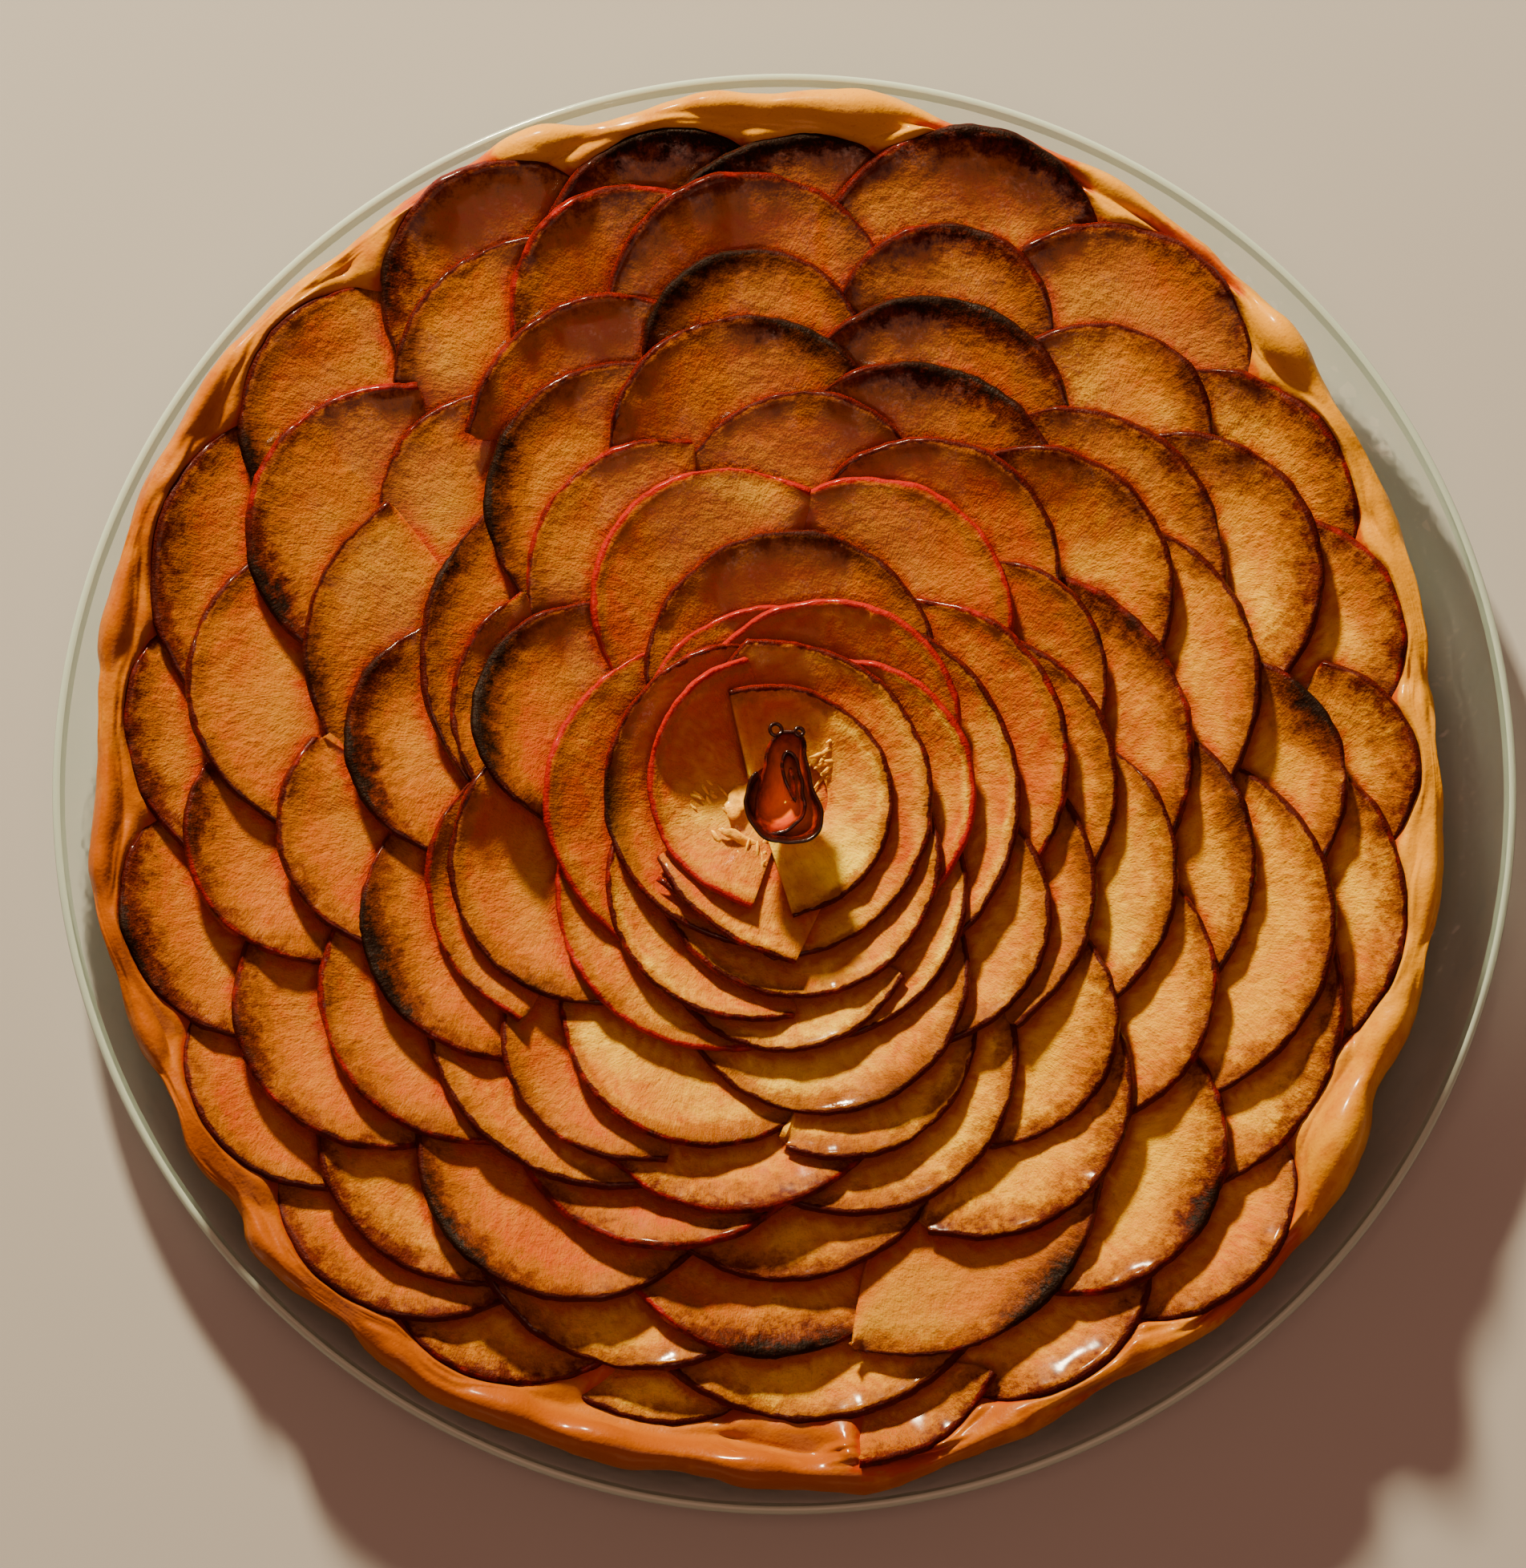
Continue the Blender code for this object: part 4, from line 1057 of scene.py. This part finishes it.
def apple_material():
    m = Finish(
        "glazed_apple", 0.5, Coat_Weight=0.1, Coat_Roughness=0.13, Specular_IOR_Level=0.05,
        Subsurface_Weight=0.22, Subsurface_Radius=(1.0, 0.18, 0.03), Subsurface_Scale=0.004,
    )
    where = m.millimetres()
    distance, run, tone, corner, burn, red, toast = [m.attribute(name) for name in (
        "peel_distance", "peel_run", "tone", "tucked", "burn", "red", "toast",
    )]
    soak = m.speckle(where, 0.075, 1.0, 0.6)
    blot = m.speckle(where, 0.24, 2.0, 0.66)
    fibres = m.add("CombineXYZ", {
        0: m.times(run, 1.5), 1: m.times(distance, 0.28), 2: m.times(toast, 40.0),
    }).outputs[0]
    fibre = m.speckle(fibres, 1.0, 2.0, 0.72)
    height, pores = m.grain(where, 2.1)
    # flesh, from cream to honey, with browner fibres, soaked patches, and the painted shade
    # carried by tone
    honey = m.fused(tone, 1.1, m.times(soak, 0.9))
    honey = m.calc("ADD", honey, m.times(blot, 0.6))
    light = m.blend(m.between(toast, 5.4, 3.8), CREAM, PALE)
    colour = m.blend(m.between(honey, 0.7, 1.3), light, HONEY)
    colour = m.blend(m.times(m.between(fibre, 0.5, 0.76), 0.22), colour, CARAMEL)
    colour = m.blend(m.times(m.between(honey, 1.25, 2.0), 0.3), colour, CARAMEL)
    # painted shade: a clear deep orange in the corners of the pile, beside the edge of a slice
    # above
    colour = m.blend(m.times(corner, 0.9, clamp=True), colour, AMBER)
    # the browned band, of uneven depth, inside the peel
    ragged = m.fused(height, 7.0, m.fused(blot, 8.0, -9.2))
    ragged = m.fused(fibre, 2.0, ragged)
    ragged = m.times(ragged, m.times(toast, 0.16))
    depth = m.fused(burn, -5.0, m.calc("ADD", distance, ragged))
    band = m.between(depth, m.times(toast, 1.15), m.times(toast, 0.35))
    colour = m.blend(m.times(band, 0.93), colour, CARAMEL)
    dark = m.between(depth, m.times(toast, 0.55), -1.0)
    colour = m.blend(m.times(dark, m.times(toast, 0.15, clamp=True)), colour, TOASTED)
    flush = m.times(m.between(distance, 1.8, 0.4), m.between(red, 0.45, 0.95))
    colour = m.blend(m.times(flush, 0.35), colour, AMBER)
    char = m.times(m.between(depth, 0.8, -4.0), m.between(burn, 0.15, 0.7), clamp=True)
    colour = m.blend(char, colour, CHARRED)
    # the peel itself
    uneven = m.fused(m.speckle(where, 0.4, 2.0), -1.5, distance)
    skin = m.calc("MAXIMUM", m.between(uneven, -0.1, -0.45), m.between(distance, 0.24, 0.08))
    lively = m.fused(blot, 0.9, red)
    peel = m.blend(m.between(lively, 0.72, 1.15), MAROON, SCARLET)
    peel = m.blend(m.between(burn, 0.3, 0.8), peel, CHARRED)
    colour = m.blend(skin, colour, peel)
    m.feed("Base Color", m.blend(m.times(pores, 0.25), colour, TOASTED))
    # gloss
    wet = m.between(m.speckle(where, 0.12, 2.0, 0.6), 0.45, 0.66)
    m.feed("Roughness", m.fused(wet, -0.15, m.fused(height, 0.2, 0.45)))
    beads = m.fused(m.between(m.speckle(where, 1.1, 2.0), 0.52, 0.64), 0.55, 0.06)
    coat = m.fused(corner, 0.2, m.times(wet, beads))
    coat = m.fused(tone, 0.25, coat)
    m.feed("Coat Weight", m.fused(char, -0.6, coat, clamp=True))
    relief = m.fused(m.speckle(where, 0.45, 1.0), 0.9, m.fused(fibre, 0.5, height))
    m.bump(relief, 0.7, 0.0005)
    return m.material


apple_finish = apple_material()
for _, piece, _ in apples:
    piece.data.materials.append(apple_finish)
print("apple nodes", len(apple_finish.node_tree.nodes))

# %% [markdown]
# ## Torn flesh, crust, peel and glass
# The torn flesh is the palest thing on the tart.  The crust is egg-washed: golden, browner
# where it stands up, with a soft gloss; painted shade darkens it towards the left and near sides
# and turns it deep orange in its corners beside the fruit.  The dried peel runs from orange at
# its foot, partly painted glow, to almost black at its rim, and gives off a little painted glow.
# The glass is clear with a breath of green, its underside is stippled, and its rounded lip is
# painted paler, a painted highlight.

# %% Torn flesh recipe
RAW = (0.92, 0.46, 0.02, 1)


def flesh_material():
    m = Finish(
        "torn_flesh_finish", 0.45, Coat_Weight=0.3, Coat_Roughness=0.12, Specular_IOR_Level=0.1,
        Subsurface_Weight=0.2, Subsurface_Radius=(1.0, 0.5, 0.2), Subsurface_Scale=0.002,
    )
    where = m.millimetres()
    blot = m.speckle(where, 0.5, 4.0, 0.6)
    height, pores = m.grain(where, 2.6)
    colour = m.blend(m.between(blot, 0.4, 0.68), RAW, HONEY)
    m.feed("Base Color", m.blend(m.times(pores, 0.3), colour, CARAMEL))
    m.bump(height, 0.5, 0.0004)
    return m.material


flesh_piece.data.materials.append(flesh_material())
print("flesh done")

# %% Crust recipe
GOLD = (0.44, 0.14, 0.0, 1)
PALE_GOLD = (0.56, 0.24, 0.0, 1)
BROWNED = (0.25, 0.045, 0.0, 1)
CORNER_SHADE_ORANGE = (0.34, 0.018, 0.0, 1)


def crust_material():
    m = Finish(
        "egg_washed_crust", 0.42, Coat_Weight=0.3, Coat_Roughness=0.15, Specular_IOR_Level=0.05
    )
    where = m.millimetres()
    broad = m.speckle(where, 0.045, 2.0, 0.6)
    blot = m.speckle(where, 0.22, 3.0, 0.6)
    corner = m.attribute("tucked")
    height, pores = m.grain(where, 1.3)
    across, away, upward = m.add("SeparateXYZ", {0: where}).outputs
    # painted shade: darker towards the left and the near side, mixed with noise
    mixed = m.fused(across, -0.0028, m.fused(blot, 0.8, broad))
    mixed = m.fused(away, -0.003, mixed)
    colour = m.blend(m.between(mixed, 0.55, 1.0), PALE_GOLD, GOLD)
    # browned where the crust stands up, more so on the left and near sides where painted shade
    # falls
    brown = m.times(m.between(upward, 14.0, 24.0), m.between(mixed, 0.85, 1.35))
    colour = m.blend(m.times(brown, 0.8), colour, BROWNED)
    # painted shade: deep orange in the corners beside the fruit
    colour = m.blend(m.times(m.between(corner, 0.15, 0.8), 0.8), colour, CORNER_SHADE_ORANGE)
    m.feed("Base Color", m.blend(m.times(pores, 0.25), colour, BROWNED))
    wet = m.between(m.speckle(where, 0.1), 0.44, 0.6)
    m.feed("Coat Weight", m.fused(wet, 0.35, 0.08))
    m.bump(m.fused(m.speckle(where, 0.4), 0.8, height), 0.4, 0.0004)
    return m.material


crust_piece.data.materials.append(crust_material())
print("crust done")

# %% Dried peel recipe
# The orange low on the curl is partly painted glow, standing in for light through the thin peel;
# the nearly black rim is the dried peel's own colour.
PEEL_STOPS = (  # share of the height, and the colour there
    (0.15, (0.80, 0.22, 0.015, 1)), (0.55, (0.46, 0.05, 0.003, 1)),
    (0.80, (0.15, 0.006, 0.002, 1)), (0.92, (0.016, 0.002, 0.001, 1)),
)
BLACK = (0, 0, 0, 1)
GLOW = (0.6, 0.1, 0.0, 1)


def peel_material():
    m = Finish(
        "dried_peel_finish", 0.25, Coat_Weight=0.35, Coat_Roughness=0.05,
        Specular_IOR_Level=0.25, Subsurface_Weight=0.25, Subsurface_Scale=0.0015,
        Subsurface_Radius=(1.0, 0.12, 0.03), Emission_Strength=0.14,
    )
    where = m.millimetres()
    share = m.attribute("height_share")
    blot = m.speckle(where, 0.6, 4.0, 0.6)
    ramp = m.add("ValToRGB", {0: m.fused(blot, 0.4, m.calc("ADD", share, -0.2))})
    stops = ramp.color_ramp.elements
    first, *inner, last = PEEL_STOPS
    for stop, (at, colour) in [(stops[0], first), (stops[1], last)]:
        stop.position, stop.color = at, colour
    for at, colour in inner:
        stops.new(at).color = colour
    m.feed("Base Color", ramp.outputs[0])
    # painted glow: the lower part of the curl gives off a little light of its own
    m.feed("Emission Color", m.blend(m.between(share, 0.95, 0.35), BLACK, GLOW))
    m.bump(m.grain(where, 1.6)[0], 0.35, 0.0004)
    return m.material


curl_piece.data.materials.append(peel_material())
print("peel done")

# %% Glass recipe
LIP_FROM = 148.5 * MM  # the lip is the part of the dish farther out than this
CLEAR = (0.92, 0.97, 0.93, 1)
GREENISH = (0.86, 0.94, 0.89, 1)


def glass_material():
    m = Finish(
        "greenish_glass", 0.02, Transmission_Weight=1.0, IOR=1.47,
        Base_Color=(0.93, 0.97, 0.94, 1),
    )
    where = m.millimetres()
    underside = m.between(m.add("SeparateXYZ", {0: where}).outputs[2], 11.0, 9.0)
    tint = m.between(m.speckle(where, 0.05, 1.0), 0.35, 0.65)
    m.feed("Base Color", m.blend(tint, CLEAR, GREENISH))
    stipple = m.times(m.speckle(where, 0.6, 0.0), underside)
    m.bump(m.fused(stipple, 0.6, m.speckle(where, 0.12, 1.0)), 0.6, 0.0011)
    return m.material


def lip_material():
    """The rounded lip is painted paler and less clear than the sheet, a painted highlight along
    the rim.
    """
    return Finish(
        "glass_lip", 0.1, Transmission_Weight=0.45, Base_Color=(0.62, 0.76, 0.66, 1)
    ).material


dish_piece.data.materials.append(glass_material())
dish_piece.data.materials.append(lip_material())
for face in dish_piece.data.polygons:
    if math.hypot(face.center.x, face.center.y) > LIP_FROM:
        face.material_index = 1
print("glass done")

# %% [markdown]
# ## Floor, light and camera
# A low warm light comes from the far side, a little to the left, and rakes over the slices so
# that each one shadows the next.  A weak wide light keeps the shadows open.  The camera looks
# almost straight down, tipped by ten degrees.

# %% Floor
FLOOR_HALF = 1.6  # from its middle to its side, in metres
PALE_GREY = (0.36, 0.36, 0.36, 1)


def floor_piece():
    bm = bmesh.new()
    bmesh.ops.create_grid(bm, x_segments=1, y_segments=1, size=FLOOR_HALF)
    floor = new_object(bm, "floor")
    floor.data.materials.append(Finish("pale_floor", 0.8, Base_Color=PALE_GREY).material)


floor_piece()


# %% Lights
def area_light(name, azimuth, elevation, distance, size, power, colour):
    """A square soft light aimed at the tart.  Azimuth is clockwise from the far side."""
    light = bpy.data.lights.new(name, "AREA")
    light.size = size
    light.energy = power
    light.color = colour
    lamp = in_scene(name, light)
    a, e = math.radians(azimuth), math.radians(elevation)
    way = Vector((math.sin(a) * math.cos(e), math.cos(a) * math.cos(e), math.sin(e)))
    lamp.location = way * distance
    lamp.rotation_euler = way.to_track_quat("Z", "Y").to_euler()


area_light("key", -18, 24, 1.7, 0.16, 120, (1.0, 0.83, 0.54))
area_light("fill", 175, 70, 1.6, 1.2, 8, (1.0, 0.52, 0.36))
world = bpy.data.worlds.new("studio")
world.use_nodes = True
background = world.node_tree.nodes["Background"]
background.inputs["Color"].default_value = (1.0, 0.46, 0.3, 1)
background.inputs["Strength"].default_value = 0.17
bpy.context.scene.world = world
print("lights ready")

# %% Camera
LENS = 300  # a long lens, from far away
TILT = math.radians(10.3)
TARGET = Vector((-0.0044, 0.0005, 0.014))
DISTANCE = 2.6757
camera_data = bpy.data.cameras.new("camera")
camera_data.lens = LENS
camera = in_scene("camera", camera_data)
bpy.context.scene.camera = camera
camera.location = TARGET + Vector((0, -math.sin(TILT), math.cos(TILT))) * DISTANCE
camera.rotation_euler = (TILT, 0, 0)
print("camera at", [round(v, 3) for v in camera.location])

# %% The scene is built
print("scene built")
